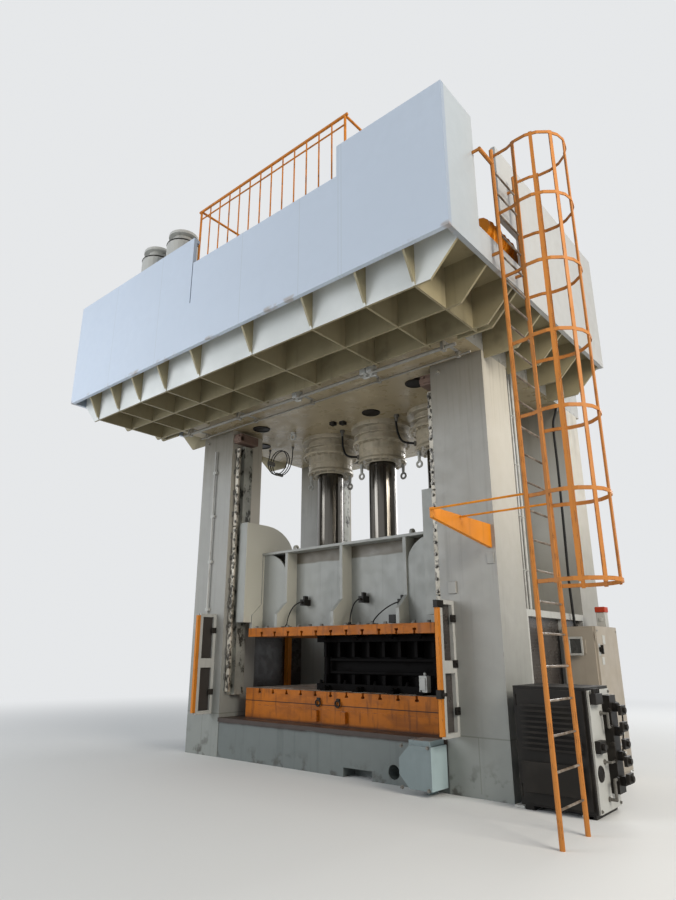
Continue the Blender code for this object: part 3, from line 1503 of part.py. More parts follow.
def make_deck_motor():
    """A finned motor and its pump on a stand, on the right side deck."""
    start = -DECK_MOTOR_FRONT
    end = start + DECK_MOTOR_LENGTH
    x, z = DECK_MOTOR_X, DECK_MOTOR_Z
    shapes = [bar((x, start, z), (x, end, z), DECK_MOTOR_RADIUS, SMALL_ROUND)]
    step = DECK_MOTOR_LENGTH / (FIN_COUNT + 1)
    for index in range(FIN_COUNT):
        y = start + (index + 1) * step
        shapes.append(
            bar(
                (x, y - FIN_THICK / 2, z),
                (x, y + FIN_THICK / 2, z),
                DECK_MOTOR_RADIUS + FIN_STAND,
                SMALL_ROUND,
            )
        )
    for y in (start + step, end - step):
        shapes.append(
            box(
                (x - STAND_WIDTH / 2, y - STAND_THICK / 2, DECK_TOP + GAP),
                (x + STAND_WIDTH / 2, y + STAND_THICK / 2, z),
            )
        )
    shapes.append(bar((x, end - SINK, z), (x, end + DECK_PUMP_LENGTH, z), DECK_PUMP_RADIUS, SMALL_ROUND))
    part("deck_motor", "motor_paint", shapes)


make_columns()
make_bed()
make_bolster()
make_tooling()
make_guide_rails()
make_slide()
make_slide_plate()
make_crown()
make_cylinders()
make_front_deck()
make_side_decks()
make_fascias()
make_handrails()
make_ladder()
make_cage()
make_ladder_stay()
make_guards()
make_drive_cover()
make_side_guards()
make_pump_unit()
make_control_cabinet()
make_crown_pipe()
make_conduit()
make_air_tanks()
make_deck_motor()
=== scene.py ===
import math

import bmesh
import bpy
from mathutils import Matrix, Vector


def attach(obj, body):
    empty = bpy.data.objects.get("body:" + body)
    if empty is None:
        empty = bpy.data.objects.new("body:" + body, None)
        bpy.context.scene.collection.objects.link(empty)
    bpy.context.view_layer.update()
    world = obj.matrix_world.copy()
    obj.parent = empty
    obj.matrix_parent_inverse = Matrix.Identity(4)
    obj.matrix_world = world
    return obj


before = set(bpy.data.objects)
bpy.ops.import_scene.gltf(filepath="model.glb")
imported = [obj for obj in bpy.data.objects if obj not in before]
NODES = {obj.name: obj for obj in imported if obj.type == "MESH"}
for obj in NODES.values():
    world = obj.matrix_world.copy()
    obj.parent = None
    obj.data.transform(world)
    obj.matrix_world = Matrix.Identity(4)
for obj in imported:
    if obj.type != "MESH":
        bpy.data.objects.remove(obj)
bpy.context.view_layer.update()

# Metres and degrees. +X is to the operator's right, -Y the front, +Z up, the origin on the floor
CAMERA_PLACE = (6.72, -9.178, 1.638)
CAMERA_PITCH = 17.6
CAMERA_YAW = 40.367
CAMERA_LENS = 33.895
SENSOR_WIDTH = 36.0
VIEW_END = 200.0

WHITE = (1.0, 1.0, 1.0)
SKY = (0.86, 0.875, 0.89)
SKY_STRENGTH = 0.92
SKY_LIGHT = (0.88, 0.94, 1.0)
SKY_LIGHT_STRENGTH = 0.42
FLOOR_GREY = (0.7, 0.7, 0.69)
FLOOR_HALF = 60.0
FLOOR_FADE = (6.0, 18.0)

GREY = (0.345, 0.34, 0.315)
# The bed's green, kept darker with painted shade as well as its own colour
SLIDE_GREY = (0.335, 0.34, 0.315)
BED_SHADED_GREEN = (0.155, 0.175, 0.168)
FASCIA = (0.55, 0.62, 0.72)
DECK = (0.33, 0.285, 0.175)
ORANGE = (0.62, 0.21, 0.022)
LADDER_ORANGE = (0.5, 0.19, 0.04)
BRIGHT_ORANGE = (0.8, 0.27, 0.015)
BOLSTER_ORANGE = (0.47, 0.135, 0.006)
BARREL_BEIGE = (0.52, 0.455, 0.34)
GUARD_WHITE = (0.5, 0.5, 0.47)
COVER_GREEN = (0.2, 0.245, 0.25)
CABINET_BEIGE = (0.39, 0.34, 0.275)
FLOOR_DIRT = (0.06, 0.055, 0.045)
PRIMER = (0.09, 0.06, 0.045)

# Heights and faces of the solids that the paint follows
COLUMN_JOINT = 0.66
COLUMN_SEAM = 2.62
SHEET_JOINTS_X = (-2.72, -1.37, 0.62, 1.75, 2.42, 2.47)
SHEET_JOINTS_Y = (-1.9, -0.6)
PANEL_FOOT = 5.93
BEAM_FACE = -3.8547
RUNG_ENDS = (-3.112, -2.558)
BOLSTER_FOOT = 0.6
LAYER_JOINT = 0.873
LEFT_GUARD_SHEET = -2.42

# Heights and faces that the pieces stand on, some of them a little inside their solid
CROWN_FOOT = 5.66
CABLE_ROOT = 5.659
COLUMN_SKIN = -1.758
GIB_FACE = -1.684
GLAND_FOOT = 4.955
BARREL_FOOT = 5.292
BARREL_TOP = 7.54
PUMP_SIDE = 4.038
PUMP_DOOR = -1.99
CABINET_SIDE = 3.509
PLATE_TOP = 2.026

CYLINDERS = (-1.27, 0.0, 1.27)
DOWN = (0.0, 0.0, -1.0)
UP = (0.0, 0.0, 1.0)
FORWARD = (0.0, -1.0, 0.0)
RIGHT = (1.0, 0.0, 0.0)


# Camera: the photograph's viewpoint
def make_camera():
    data = bpy.data.cameras.new("camera")
    data.sensor_fit = "HORIZONTAL"
    data.sensor_width = SENSOR_WIDTH
    data.lens = CAMERA_LENS
    data.clip_end = VIEW_END
    camera = bpy.data.objects.new("camera", data)
    camera.location = CAMERA_PLACE
    camera.rotation_euler = (math.radians(90 + CAMERA_PITCH), 0.0, math.radians(CAMERA_YAW))
    bpy.context.scene.collection.objects.link(camera)
    bpy.context.scene.camera = camera


# Materials
class Nodes:
    """Adds nodes to a tree and feeds their sockets with values or with other nodes' outputs."""

    def __init__(self, tree):
        self.tree = tree

    def node(self, kind, inputs=(), **settings):
        made = self.tree.nodes.new("ShaderNode" + kind)
        for key, value in settings.items():
            setattr(made, key, value)
        for key, value in dict(inputs).items():
            self.feed(made.inputs[key], value)
        return made

    def feed(self, socket, value):
        if isinstance(value, bpy.types.NodeSocket):
            self.tree.links.new(value, socket)
        elif socket.type == "RGBA" and len(value) == 3:
            socket.default_value = (*value, 1.0)
        else:
            socket.default_value = value

    def band(self, value, low, high, to_low=0.0, to_high=1.0):
        """value mapped smoothly from low..high to to_low..to_high."""
        inputs = {"Value": value, "From Min": low, "From Max": high, "To Min": to_low, "To Max": to_high}
        return self.node("MapRange", inputs, interpolation_type="SMOOTHSTEP").outputs[0]

    def math(self, operation, first, second=0.0):
        return self.node("Math", {0: first, 1: second}, operation=operation).outputs[0]

    def times(self, *values):
        result = values[0]
        for value in values[1:]:
            result = self.math("MULTIPLY", result, value)
        return result

    def blend(self, amount, first, second):
        """One shader over another."""
        return self.node("MixShader", {0: amount, 1: first, 2: second}).outputs[0]


class Paint(Nodes):
    """One procedural material, built in the object's own coordinates."""

    def __init__(self, name):
        self.material = bpy.data.materials.new(name)
        self.material.use_nodes = True
        super().__init__(self.material.node_tree)
        self.shader = self.tree.nodes["Principled BSDF"]
        self.place = self.node("TexCoord").outputs["Object"]
        self.parts = None

    def noise(self, scale, detail, stretch=None, rough=0.5):
        """Noise from 0 to 1. stretch is how much finer it is across and up."""
        vector = self.place
        if stretch:
            across, up = stretch
            inputs = {"Vector": self.place, "Scale": (across, across, up)}
            vector = self.node("Mapping", inputs).outputs[0]
        values = {"Vector": vector, "Scale": scale, "Detail": detail, "Roughness": rough}
        return self.node("TexNoise", values).outputs[0]

    def blotches(self, scale, detail, low, high, stretch=None, rough=0.5, to_low=0.0, to_high=1.0):
        """Noise mapped smoothly from low..high to to_low..to_high."""
        return self.band(self.noise(scale, detail, stretch, rough), low, high, to_low, to_high)

    def mix(self, amount, first, second):
        return self.node("Mix", {0: amount, 6: first, 7: second}, data_type="RGBA").outputs[2]

    def axis(self, name):
        if self.parts is None:
            self.parts = self.node("SeparateXYZ", {"Vector": self.place}).outputs
        return self.parts["XYZ".index(name)]

    def along(self, name, low, high, to_low=0.0, to_high=1.0):
        """A smooth step along an axis."""
        return self.band(self.axis(name), low, high, to_low, to_high)

    def near(self, name, value, half, soft):
        """1 within half of a level on an axis, falling to 0 over soft."""
        away = self.math("ABSOLUTE", self.math("SUBTRACT", self.axis(name), value))
        return self.band(away, half, half + soft, 1.0, 0.0)

    def between(self, name, low, high):
        """1 between two levels on an axis."""
        above = self.math("GREATER_THAN", self.axis(name), low)
        return self.times(above, self.math("LESS_THAN", self.axis(name), high))

    def facing(self, name, low, high):
        """Rises with how far the surface faces along an axis, which goes from -1 to 1."""
        normal = self.node("NewGeometry").outputs["Normal"]
        parts = self.node("SeparateXYZ", {"Vector": normal}).outputs
        return self.band(parts["XYZ".index(name)], low, high)

    def edges(self, radius):
        """1 along outer and inner edges."""
        soft = self.node("Bevel", {"Radius": radius}, samples=4).outputs[0]
        true = self.node("NewGeometry").outputs["Normal"]
        made = self.node("VectorMath", {0: soft, 1: true}, operation="DOT_PRODUCT")
        return self.band(self.math("SUBTRACT", 1.0, made.outputs["Value"]), 0.0, 0.06)

    def finish(self, colour, roughness, bumps, metallic=0.0, specular=0.5):
        """bumps are (height value, strength, distance in metres)."""
        self.feed(self.shader.inputs["Base Color"], colour)
        self.feed(self.shader.inputs["Roughness"], roughness)
        self.shader.inputs["Metallic"].default_value = metallic
        self.shader.inputs["Specular IOR Level"].default_value = specular
        normal = None
        for height, strength, distance in bumps:
            inputs = {"Height": height, "Strength": strength, "Distance": distance}
            if normal is not None:
                inputs["Normal"] = normal
            normal = self.node("Bump", inputs).outputs[0]
        self.feed(self.shader.inputs["Normal"], normal)
        return self.material


def shade(colour, amount):
    return tuple(value * amount for value in colour)


def enamel(name, colour, rough=0.42, grime=0.35, wear=0.5, under=PRIMER, detail=None, specular=0.4):
    """Aged machine enamel: patches, rain-like streaks, specks, dirt and worn edges."""
    p = Paint(name)
    base = p.mix(p.blotches(0.55, 4.0, 0.35, 0.68), shade(colour, 0.88), colour)
    base = p.mix(p.blotches(7.0, 5.0, 0.3, 0.7), shade(colour, 0.93), base)
    streaks = p.blotches(1.6, 5.0, 0.52, 0.78, (7.0, 0.35))
    base = p.mix(p.times(streaks, grime), base, shade(colour, 0.45))
    specks = p.blotches(46.0, 2.0, 0.71, 0.78)
    base = p.mix(p.times(specks, wear * 0.5), base, under)
    edge = p.edges(0.012)
    chips = p.times(edge, p.blotches(9.0, 6.0, 0.5, 0.62), wear)
    base = p.mix(chips, base, under)
    if detail:
        base = detail(p, base)
    roughness = p.blotches(5.0, 4.0, 0.3, 0.75, to_low=rough, to_high=rough + 0.2)
    bumps = [
        (p.noise(1.1, 2.0), 0.12, 0.02),
        (p.noise(260.0, 2.0), 0.12, 0.0006),
        (edge, 0.1, -0.003),
    ]
    return p.finish(base, roughness, bumps, specular=specular)


def seam_lines(p, base, axis, places, colour, half, limits=None):
    """Thin lines across an axis, as welds or the joints between sheets."""
    for place in places:
        line = p.near(axis, place, half, half)
        if limits:
            line = p.times(line, p.between(*limits))
        base = p.mix(p.times(line, 0.55), base, colour)
    return base


def column_detail(p, base):
    """Darker and greener towards the foot, painted shade with oil stains under the crown, painted light on
    the upper right side, the weld line and joints.
    """
    # Darker and greener towards the foot
    foot = p.along("Z", 0.0, 2.2, 1.0, 0.0)
    base = p.mix(p.times(foot, 0.6), base, (0.19, 0.215, 0.2))
    # Painted shade with oil stain: the front faces darken to warm brown under the crown
    shade_and_stain = p.times(p.facing("Y", -0.5, -0.9), p.along("Z", 4.3, 5.6))
    base = p.mix(p.times(shade_and_stain, 0.6), base, (0.15, 0.125, 0.08))
    # Painted light: the upper part of the right-facing side takes a lighter, warm copy of the grey, as
    # sunlight
    lit_side = p.times(p.facing("X", 0.5, 0.9), p.along("Z", 1.6, 4.6))
    base = p.mix(p.times(lit_side, 0.8), base, (0.56, 0.52, 0.44))
    base = seam_lines(p, base, "Z", (COLUMN_JOINT,), (0.12, 0.12, 0.1), 0.005)
    below = ("Z", 0.05, COLUMN_JOINT)
    base = seam_lines(p, base, "X", (COLUMN_SEAM, -COLUMN_SEAM), (0.14, 0.14, 0.12), 0.004, below)
    splash = p.times(p.blotches(6.0, 6.0, 0.52, 0.66), p.along("Z", 0.02, 0.5, 0.8, 0.0))
    base = p.mix(splash, base, FLOOR_DIRT)
    # Old oil runs below the crown
    run = p.times(p.blotches(2.2, 5.0, 0.5, 0.72, (9.0, 0.3)), p.along("Z", 4.2, 5.6))
    return p.mix(p.times(run, 0.35), base, (0.12, 0.10, 0.06))


def bed_detail(p, base):
    """Painted shade beneath the bolster's overhang, with oil stain, darkens the bed's top edge."""
    uneven = p.math("ADD", p.axis("Z"), p.times(p.noise(3.0, 5.0), 0.07))
    # Painted shade with oil stain: a ragged dark band along the bed's top edge, under the bolster
    base = p.mix(p.times(p.band(uneven, 0.535, 0.58), 0.9), base, (0.035, 0.018, 0.012))
    splash = p.times(p.blotches(5.0, 6.0, 0.52, 0.64), p.along("Z", 0.02, 0.3, 0.7, 0.0))
    return p.mix(splash, base, FLOOR_DIRT)


def sheet_detail(p, base):
    """Joints between the sheets of the tall panels, and a little rust along the foot."""
    pale = (0.42, 0.47, 0.5)
    base = seam_lines(p, base, "X", SHEET_JOINTS_X, pale, 0.003)
    base = seam_lines(p, base, "Y", SHEET_JOINTS_Y, pale, 0.003)
    foot = p.times(p.near("Z", PANEL_FOOT, 0.02, 0.05), p.blotches(4.0, 6.0, 0.55, 0.7))
    return p.mix(p.times(foot, 0.6), base, (0.28, 0.2, 0.14))


def front_panel_detail(p, base):
    """The front panel carries less grime than the rest, and its return at the right is darkened with painted
    shade.
    """
    base = p.mix(0.65, base, FASCIA)
    # Painted shade: the right-facing return takes a darker copy of the panel paint
    return sheet_detail(p, p.mix(p.facing("X", 0.5, 0.9), base, (0.265, 0.315, 0.39)))


def right_panel_detail(p, base):
    """The panel beside the ladder is an older paint, warmer towards the back."""
    coat = p.mix(p.along("Y", -3.9, -2.4), (0.3, 0.33, 0.345), (0.4, 0.385, 0.35))
    return sheet_detail(p, p.mix(0.8, base, coat))


def crown_detail(p, base):
    """The crown's underside has yellowed under oil mist."""
    yellowed = p.mix(p.blotches(0.8, 5.0, 0.3, 0.7), (0.34, 0.275, 0.17), (0.46, 0.385, 0.25))
    drops = p.times(p.blotches(6.0, 6.0, 0.6, 0.72), 0.5)
    return p.mix(p.facing("Z", -0.5, -0.9), base, p.mix(drops, yellowed, (0.16, 0.12, 0.07)))


def cover_detail(p, base):
    """Painted light: the drive cover's right side is lighter than its front."""
    # Painted light on the right-facing side, in blotches
    lit_side = p.times(p.facing("X", 0.3, 0.9), p.blotches(3.0, 5.0, 0.25, 0.5, to_low=0.8))
    return p.mix(lit_side, base, (0.42, 0.53, 0.55))


def deck_detail(p, base):
    """Painted light makes the first cross beam's front face pale, and oil darkens the rear."""
    # Painted light: the first cross beam's front face, where light falls, is given a pale colour
    front = p.times(p.facing("Y", -0.6, -0.9), p.near("Y", BEAM_FACE, 0.02, 0.01))
    pale = p.mix(p.blotches(1.2, 4.0, 0.35, 0.7), (0.66, 0.68, 0.66), (0.8, 0.82, 0.8))
    base = p.mix(front, base, pale)
    oil = p.times(p.blotches(2.5, 6.0, 0.5, 0.7), p.along("Y", -3.6, -2.4))
    return p.mix(p.times(oil, 0.45), base, (0.09, 0.075, 0.045))


def slide_detail(p, base):
    """Dirt low on the wall, the top flange's painted shadow along its top, painted light on the right-facing
    rib sides and a top darkened by stains.
    """
    stain = p.times(p.along("Z", 2.0, 2.35, 1.0, 0.0), p.blotches(4.5, 6.0, 0.46, 0.62))
    base = p.mix(p.times(stain, 0.5), base, (0.2, 0.19, 0.16))
    # Painted shadow of the top flange: an uneven, patchy dark band along the top of the slide's inner wall
    inside = p.band(p.math("ABSOLUTE", p.axis("X")), 1.84, 1.86, 1.0, 0.0)
    wall = p.times(inside, p.along("Y", -1.0, -0.98))
    uneven = p.math("ADD", p.axis("Z"), p.times(p.noise(2.0, 4.0), 0.06))
    patchy = p.blotches(3.0, 4.0, 0.2, 0.5, (1.0, 2.0), to_low=0.6)
    oil = p.times(p.band(uneven, 3.13, 3.16), wall, patchy)
    base = p.mix(p.times(oil, 0.85), base, (0.1, 0.08, 0.05))
    # Painted light: the ribs' right-facing sides take a pale, warm copy of the grey
    base = p.mix(p.times(p.facing("X", 0.5, 0.9), 0.85), base, (0.62, 0.6, 0.51))
    top = p.times(p.facing("Z", 0.7, 0.95), p.blotches(3.0, 5.0, 0.35, 0.65))
    return p.mix(p.times(top, 0.6), base, (0.16, 0.14, 0.1))


def orange(name, colour, wear, grime, detail=None):
    """Orange paint with rust-brown chips and dirt."""
    return enamel(name, colour, 0.4, grime, wear, (0.1, 0.035, 0.012), detail, 0.22)


def rung_detail(p, base):
    """The rungs are bare, darkened steel between the painted stiles."""
    bare = p.mix(p.blotches(9.0, 5.0, 0.35, 0.65), (0.1, 0.07, 0.045), (0.26, 0.22, 0.18))
    return p.mix(p.between("Y", *RUNG_ENDS), base, bare)


def bolster_detail(p, base):
    """Oil and rubbed patches, a dark joint between the layers, a dark foot and a bare top."""
    oil = p.blotches(2.4, 6.0, 0.42, 0.66, (1.0, 2.5), 0.6)
    base = p.mix(p.times(oil, 0.6), base, (0.2, 0.055, 0.006))
    drip = p.blotches(5.0, 5.0, 0.54, 0.68, (3.0, 0.5))
    base = p.mix(p.times(drip, 0.45), base, (0.08, 0.024, 0.006))
    base = p.mix(p.times(p.near("Z", LAYER_JOINT, 0.005, 0.004), 0.9), base, (0.02, 0.008, 0.004))
    foot = p.along("Z", BOLSTER_FOOT, BOLSTER_FOOT + 0.045, 1.0, 0.0)
    base = p.mix(p.times(foot, 0.8), base, (0.04, 0.015, 0.006))
    bare = p.mix(p.blotches(6.0, 6.0, 0.4, 0.65), (0.16, 0.13, 0.1), (0.42, 0.36, 0.3))
    return p.mix(p.facing("Z", 0.7, 0.95), base, bare)


def steel(name, colour, rough, metallic, amount=0.6):
    """Bare or oiled steel with fine grain and stains."""
    p = Paint(name)
    base = p.mix(p.blotches(3.0, 6.0, 0.3, 0.7), shade(colour, 0.75), colour)
    base = p.mix(p.times(p.blotches(7.0, 7.0, 0.5, 0.68), amount), base, (0.05, 0.045, 0.035))
    rubbed = p.times(p.edges(0.008), p.blotches(12.0, 5.0, 0.45, 0.6), 0.5)
    base = p.mix(rubbed, base, shade(colour, 1.5))
    roughness = p.blotches(9.0, 5.0, 0.3, 0.75, to_low=rough, to_high=rough + 0.25)
    bumps = [(p.noise(4.0, 4.0), 0.1, 0.01), (p.noise(180.0, 3.0), 0.2, 0.0008)]
    return p.finish(base, roughness, bumps, metallic)


def chrome(name):
    """Ground hard chrome: fine upright scratches and a thin oil film."""
    p = Paint(name)
    film = p.blotches(1.3, 5.0, 0.4, 0.7, (6.0, 0.4))
    base = p.mix(film, (0.13, 0.121, 0.108), (0.06, 0.053, 0.044))
    scratches = p.noise(90.0, 3.0, (1.0, 0.02))
    roughness = p.math("ADD", p.band(scratches, 0.3, 0.7, 0.08, 0.2), p.times(film, 0.08))
    return p.finish(base, roughness, [(scratches, 0.08, 0.0005)], 1.0)


def rail_steel(name, dull, pale, level, scale):
    """A greased guide rail: grey paint, black grease in blotches, brass-coloured liner edge."""
    p = Paint(name)
    base = p.mix(p.blotches(2.0, 5.0, 0.35, 0.65), dull, pale)
    grease = p.blotches(scale, 7.0, level, level + 0.1, (1.0, 0.6), 0.65)
    base = p.mix(p.times(grease, 0.9), base, (0.018, 0.016, 0.012))
    base = p.mix(p.times(p.edges(0.01), 0.35), base, (0.42, 0.3, 0.16))
    return p.finish(base, p.band(grease, 0.0, 1.0, 0.5, 0.28), [(grease, 0.25, 0.003)], 0.3)


def dark_metal(name, colour=(0.012, 0.0105, 0.009), rough=0.45, dirt=0.3, specular=0.18):
    """Black paint, rubber or glass under dust, rubbed at its edges."""
    p = Paint(name)
    dust = p.blotches(3.5, 6.0, 0.45, 0.75)
    base = p.mix(p.times(dust, dirt), colour, (0.06, 0.052, 0.042))
    rubbed = p.times(p.edges(0.008), p.blotches(10.0, 5.0, 0.45, 0.62), dirt)
    base = p.mix(rubbed, base, (0.13, 0.115, 0.095))
    bumps = [(p.noise(3.0, 4.0), 0.12, 0.01), (p.noise(220.0, 2.0), 0.15, 0.0006)]
    return p.finish(base, p.band(dust, 0.0, 1.0, rough, rough + 0.25), bumps, specular=specular)


def left_guard_detail(p, base):
    """The left guard's dark sheet lies behind its frame, in the same solid."""
    return p.mix(p.math("LESS_THAN", p.axis("X"), LEFT_GUARD_SHEET), base, (0.04, 0.034, 0.03))


def smoked(name):
    """The guards' dark sheet behind their frames, with a faint mesh in it."""
    p = Paint(name)
    base = p.mix(p.blotches(2.0, 4.0, 0.35, 0.7), (0.035, 0.03, 0.028), (0.075, 0.066, 0.06))
    wires = p.band(p.math("FRACT", p.times(p.axis("Z"), 22.0)), 0.82, 0.95)
    base = p.mix(p.times(wires, 0.25), base, (0.14, 0.13, 0.12))
    roughness = p.blotches(7.0, 3.0, 0.3, 0.7, to_low=0.22, to_high=0.4)
    return p.finish(base, roughness, [(wires, 0.1, 0.002)])


def make_finishes():
    guard = {"colour": GUARD_WHITE, "rough": 0.38, "grime": 0.4, "wear": 0.6}
    return {
        "column": enamel("column_enamel", GREY, rough=0.4, grime=0.3, detail=column_detail),
        "slide": enamel("slide_enamel", SLIDE_GREY, rough=0.38, grime=0.3, detail=slide_detail),
        "bed": enamel("bed_enamel", BED_SHADED_GREEN, detail=bed_detail),
        "panel": enamel(
            "panel_enamel",
            FASCIA,
            rough=0.36,
            grime=0.03,
            wear=0.05,
            under=(0.46, 0.49, 0.54),
            detail=front_panel_detail,
        ),
        "side_panel": enamel(
            "side_panel_enamel",
            FASCIA,
            rough=0.3,
            grime=0.12,
            wear=0.15,
            under=(0.3, 0.22, 0.16),
            detail=right_panel_detail,
        ),
        "deck": enamel(
            "deck_enamel", DECK, grime=0.3, wear=0.4, under=(0.12, 0.09, 0.06), detail=deck_detail
        ),
        "crown": enamel("crown_enamel", GREY, rough=0.24, wear=0.4, detail=crown_detail),
        "bolster": orange("bolster_paint", BOLSTER_ORANGE, 0.9, 0.3, bolster_detail),
        "rail": orange("rail_paint", ORANGE, 0.9, 0.35),
        "ladder": orange("ladder_paint", LADDER_ORANGE, 1.0, 0.5, rung_detail),
        "cage": orange("cage_paint", LADDER_ORANGE, 1.0, 0.5),
        "bright": orange("bright_orange_paint", BRIGHT_ORANGE, 0.5, 0.25),
        "barrel": steel("barrel_paint", BARREL_BEIGE, rough=0.26, metallic=0.1, amount=0.25),
        "rod": chrome("rod_chrome"),
        "guide": rail_steel("guide_grease", (0.25, 0.25, 0.22), (0.4, 0.4, 0.36), 0.5, 8.0),
        "die": dark_metal("die_black", (0.0025, 0.002, 0.002), rough=0.6, dirt=0.04, specular=0.06),
        "black": dark_metal("unit_black"),
        "white": enamel("guard_white", **guard),
        "cover": enamel(
            "cover_enamel", COVER_GREEN, rough=0.3, grime=0.15, wear=0.3, detail=cover_detail
        ),
        "cabinet": enamel("cabinet_enamel", CABINET_BEIGE, rough=0.38, grime=0.2, wear=0.4),
        "pane": smoked("guard_pane_dark"),
        "left_guard": enamel("left_guard_white", **guard, detail=left_guard_detail),
        "rubber": dark_metal("hose_rubber", (0.009, 0.009, 0.009), rough=0.55, dirt=0.2),
        "zinc": steel("bolt_steel", (0.2, 0.19, 0.17), rough=0.35, metallic=0.6),
        "strip": rail_steel("strip_grease", (0.34, 0.31, 0.25), (0.55, 0.51, 0.43), 0.47, 14.0),
        "unit_trim": dark_metal("unit_trim", (0.014, 0.012, 0.01), rough=0.35, dirt=0.2),
        "rust": enamel(
            "rail_head_rust", (0.2, 0.13, 0.1), rough=0.5, grime=0.5, wear=0.8, under=(0.05, 0.02, 0.012)
        ),
        "red": orange("box_red", (0.45, 0.05, 0.02), 0.5, 0.3),
        "glass": dark_metal("window_glass", (0.06, 0.062, 0.06), rough=0.15, dirt=0.4, specular=0.5),
    }


# The starts of the CAD nodes' names that wear each finish. The longest start that fits a name counts
WEARERS = {
    "column": ("column_", "crown_pipe"),
    "slide": ("slide",),
    "bed": ("bed",),
    "bolster": ("bolster", "slide_plate"),
    "panel": ("front_fascia", "left_fascia"),
    "side_panel": ("right_fascia", "rear_fascia"),
    "deck": ("front_deck", "side_deck"),
    "crown": ("crown",),
    "rail": ("front_handrail", "rear_handrail", "guard_strip", "guard_post"),
    "bright": ("ladder_stay", "deck_motor"),
    "cage": ("ladder_cage",),
    "ladder": ("ladder",),
    "barrel": ("cylinder", "gland"),
    "rod": ("piston_rod",),
    "guide": ("guide_rail",),
    "die": ("lower_die", "upper_die"),
    "white": ("column_conduit", "pump_side_panel", "guard_frame", "side_guard", "air_tank"),
    "black": ("pump_cabinet", "valve_manifold", "main_switch"),
    "cabinet": ("control_cabinet",),
    "cover": ("drive_cover",),
    "pane": ("guard_pane", "side_guard_pane"),
    "left_guard": ("guard_frame_left",),
}


def paint_nodes(finishes):
    """Every CAD node gets its finish."""
    worn = {start: finishes[key] for key, starts in WEARERS.items() for start in starts}
    for name, obj in NODES.items():
        longest = max((start for start in worn if name.startswith(start)), key=len)
        obj.data.materials.clear()
        obj.data.materials.append(worn[longest])


# Floor, backdrop and light
def make_floor():
    half = FLOOR_HALF
    corners = [(-half, -half, 0.0), (half, -half, 0.0), (half, half, 0.0), (-half, half, 0.0)]
    mesh = bpy.data.meshes.new("floor")
    mesh.from_pydata(corners, [], [(0, 1, 2, 3)])
    floor = bpy.data.objects.new("floor", mesh)
    bpy.context.scene.collection.objects.link(floor)
    made = bpy.data.materials.new("floor")
    made.use_nodes = True
    nodes = Nodes(made.node_tree)
    shader = nodes.tree.nodes["Principled BSDF"]
    nodes.feed(shader.inputs["Base Color"], FLOOR_GREY)
    shader.inputs["Roughness"].default_value = 0.8
    shader.inputs["Specular IOR Level"].default_value = 0.2
    # Far from the press the floor is seen as the backdrop
    far = nodes.node("Emission", {"Color": SKY, "Strength": SKY_STRENGTH}).outputs[0]
    where = nodes.node("NewGeometry").outputs["Position"]
    reach = nodes.node("VectorMath", {0: where}, operation="LENGTH").outputs["Value"]
    light = nodes.node("LightPath").outputs
    seen = nodes.math("MAXIMUM", light["Is Camera Ray"], light["Is Glossy Ray"])
    amount = nodes.times(nodes.band(reach, *FLOOR_FADE), seen)
    surface = nodes.tree.nodes["Material Output"].inputs["Surface"]
    nodes.feed(surface, nodes.blend(amount, shader.outputs[0], far))
    mesh.materials.append(made)


def make_world():
    """A pale backdrop that lights the press less than it shows."""
    world = bpy.data.worlds.new("world")
    bpy.context.scene.world = world
    world.use_nodes = True
    nodes = Nodes(world.node_tree)
    nodes.tree.nodes.clear()
    seen = nodes.node("Background", {"Color": SKY, "Strength": SKY_STRENGTH}).outputs[0]
    lit = nodes.node("Background", {"Color": SKY_LIGHT, "Strength": SKY_LIGHT_STRENGTH}).outputs[0]
    light = nodes.node("LightPath").outputs
    either = nodes.math("MAXIMUM", light["Is Camera Ray"], light["Is Transmission Ray"])
    shown = nodes.math("MAXIMUM", either, light["Is Glossy Ray"])
    nodes.node("OutputWorld", {"Surface": nodes.blend(shown, lit, seen)})


def lamp(name, place, target, power, size, colour=WHITE):
    data = bpy.data.lights.new(name, "AREA")
    data.energy = power
    data.size = size
    data.color = colour
    obj = bpy.data.objects.new(name, data)
    obj.location = place
    obj.rotation_euler = (Vector(target) - Vector(place)).to_track_quat("-Z", "Y").to_euler()
    bpy.context.scene.collection.objects.link(obj)


def make_lights():
    lamp("key", (14.0, -5.0, 9.0), (1.0, -0.5, 3.5), 1500.0, 6.0, (1.0, 0.94, 0.84))
    lamp("fill", (-8.0, -14.0, 6.0), (0.0, 0.0, 3.5), 980.0, 8.0, (0.93, 0.96, 1.0))
    lamp("rim", (2.0, 14.0, 9.0), (0.0, 0.0, 4.0), 1100.0, 6.0)


# Shapes
def block(bm, low, high):
    size = Vector(high) - Vector(low)
    middle = (Vector(high) + Vector(low)) / 2
    matrix = Matrix.Translation(middle) @ Matrix.Diagonal((*size, 1.0))
    bmesh.ops.create_cube(bm, size=1.0, matrix=matrix)


def rod(bm, start, end, radius, sides=14, tip=None):
    start, end = Vector(start), Vector(end)
    turn = (end - start).to_track_quat("Z", "Y").to_matrix().to_4x4()
    bmesh.ops.create_cone(
        bm,
        cap_ends=True,
        segments=sides,
        radius1=radius,
        radius2=radius if tip is None else tip,
        depth=(end - start).length,
        matrix=Matrix.Translation((start + end) / 2) @ turn,
    )


def upright(bm, x, y, low, high, radius, sides=14, tip=None):
    rod(bm, (x, y, low), (x, y, high), radius, sides, tip)


def bolt(bm, foot, out, size):
    """A hexagon head on its washer, standing out from foot."""
    foot, out = Vector(foot), Vector(out)
    washer, head = foot + out * size * 0.18, foot + out * size * 0.75
    rod(bm, foot - out * 0.004, washer, size * 0.78)
    rod(bm, washer, head, size * 0.58, 6)


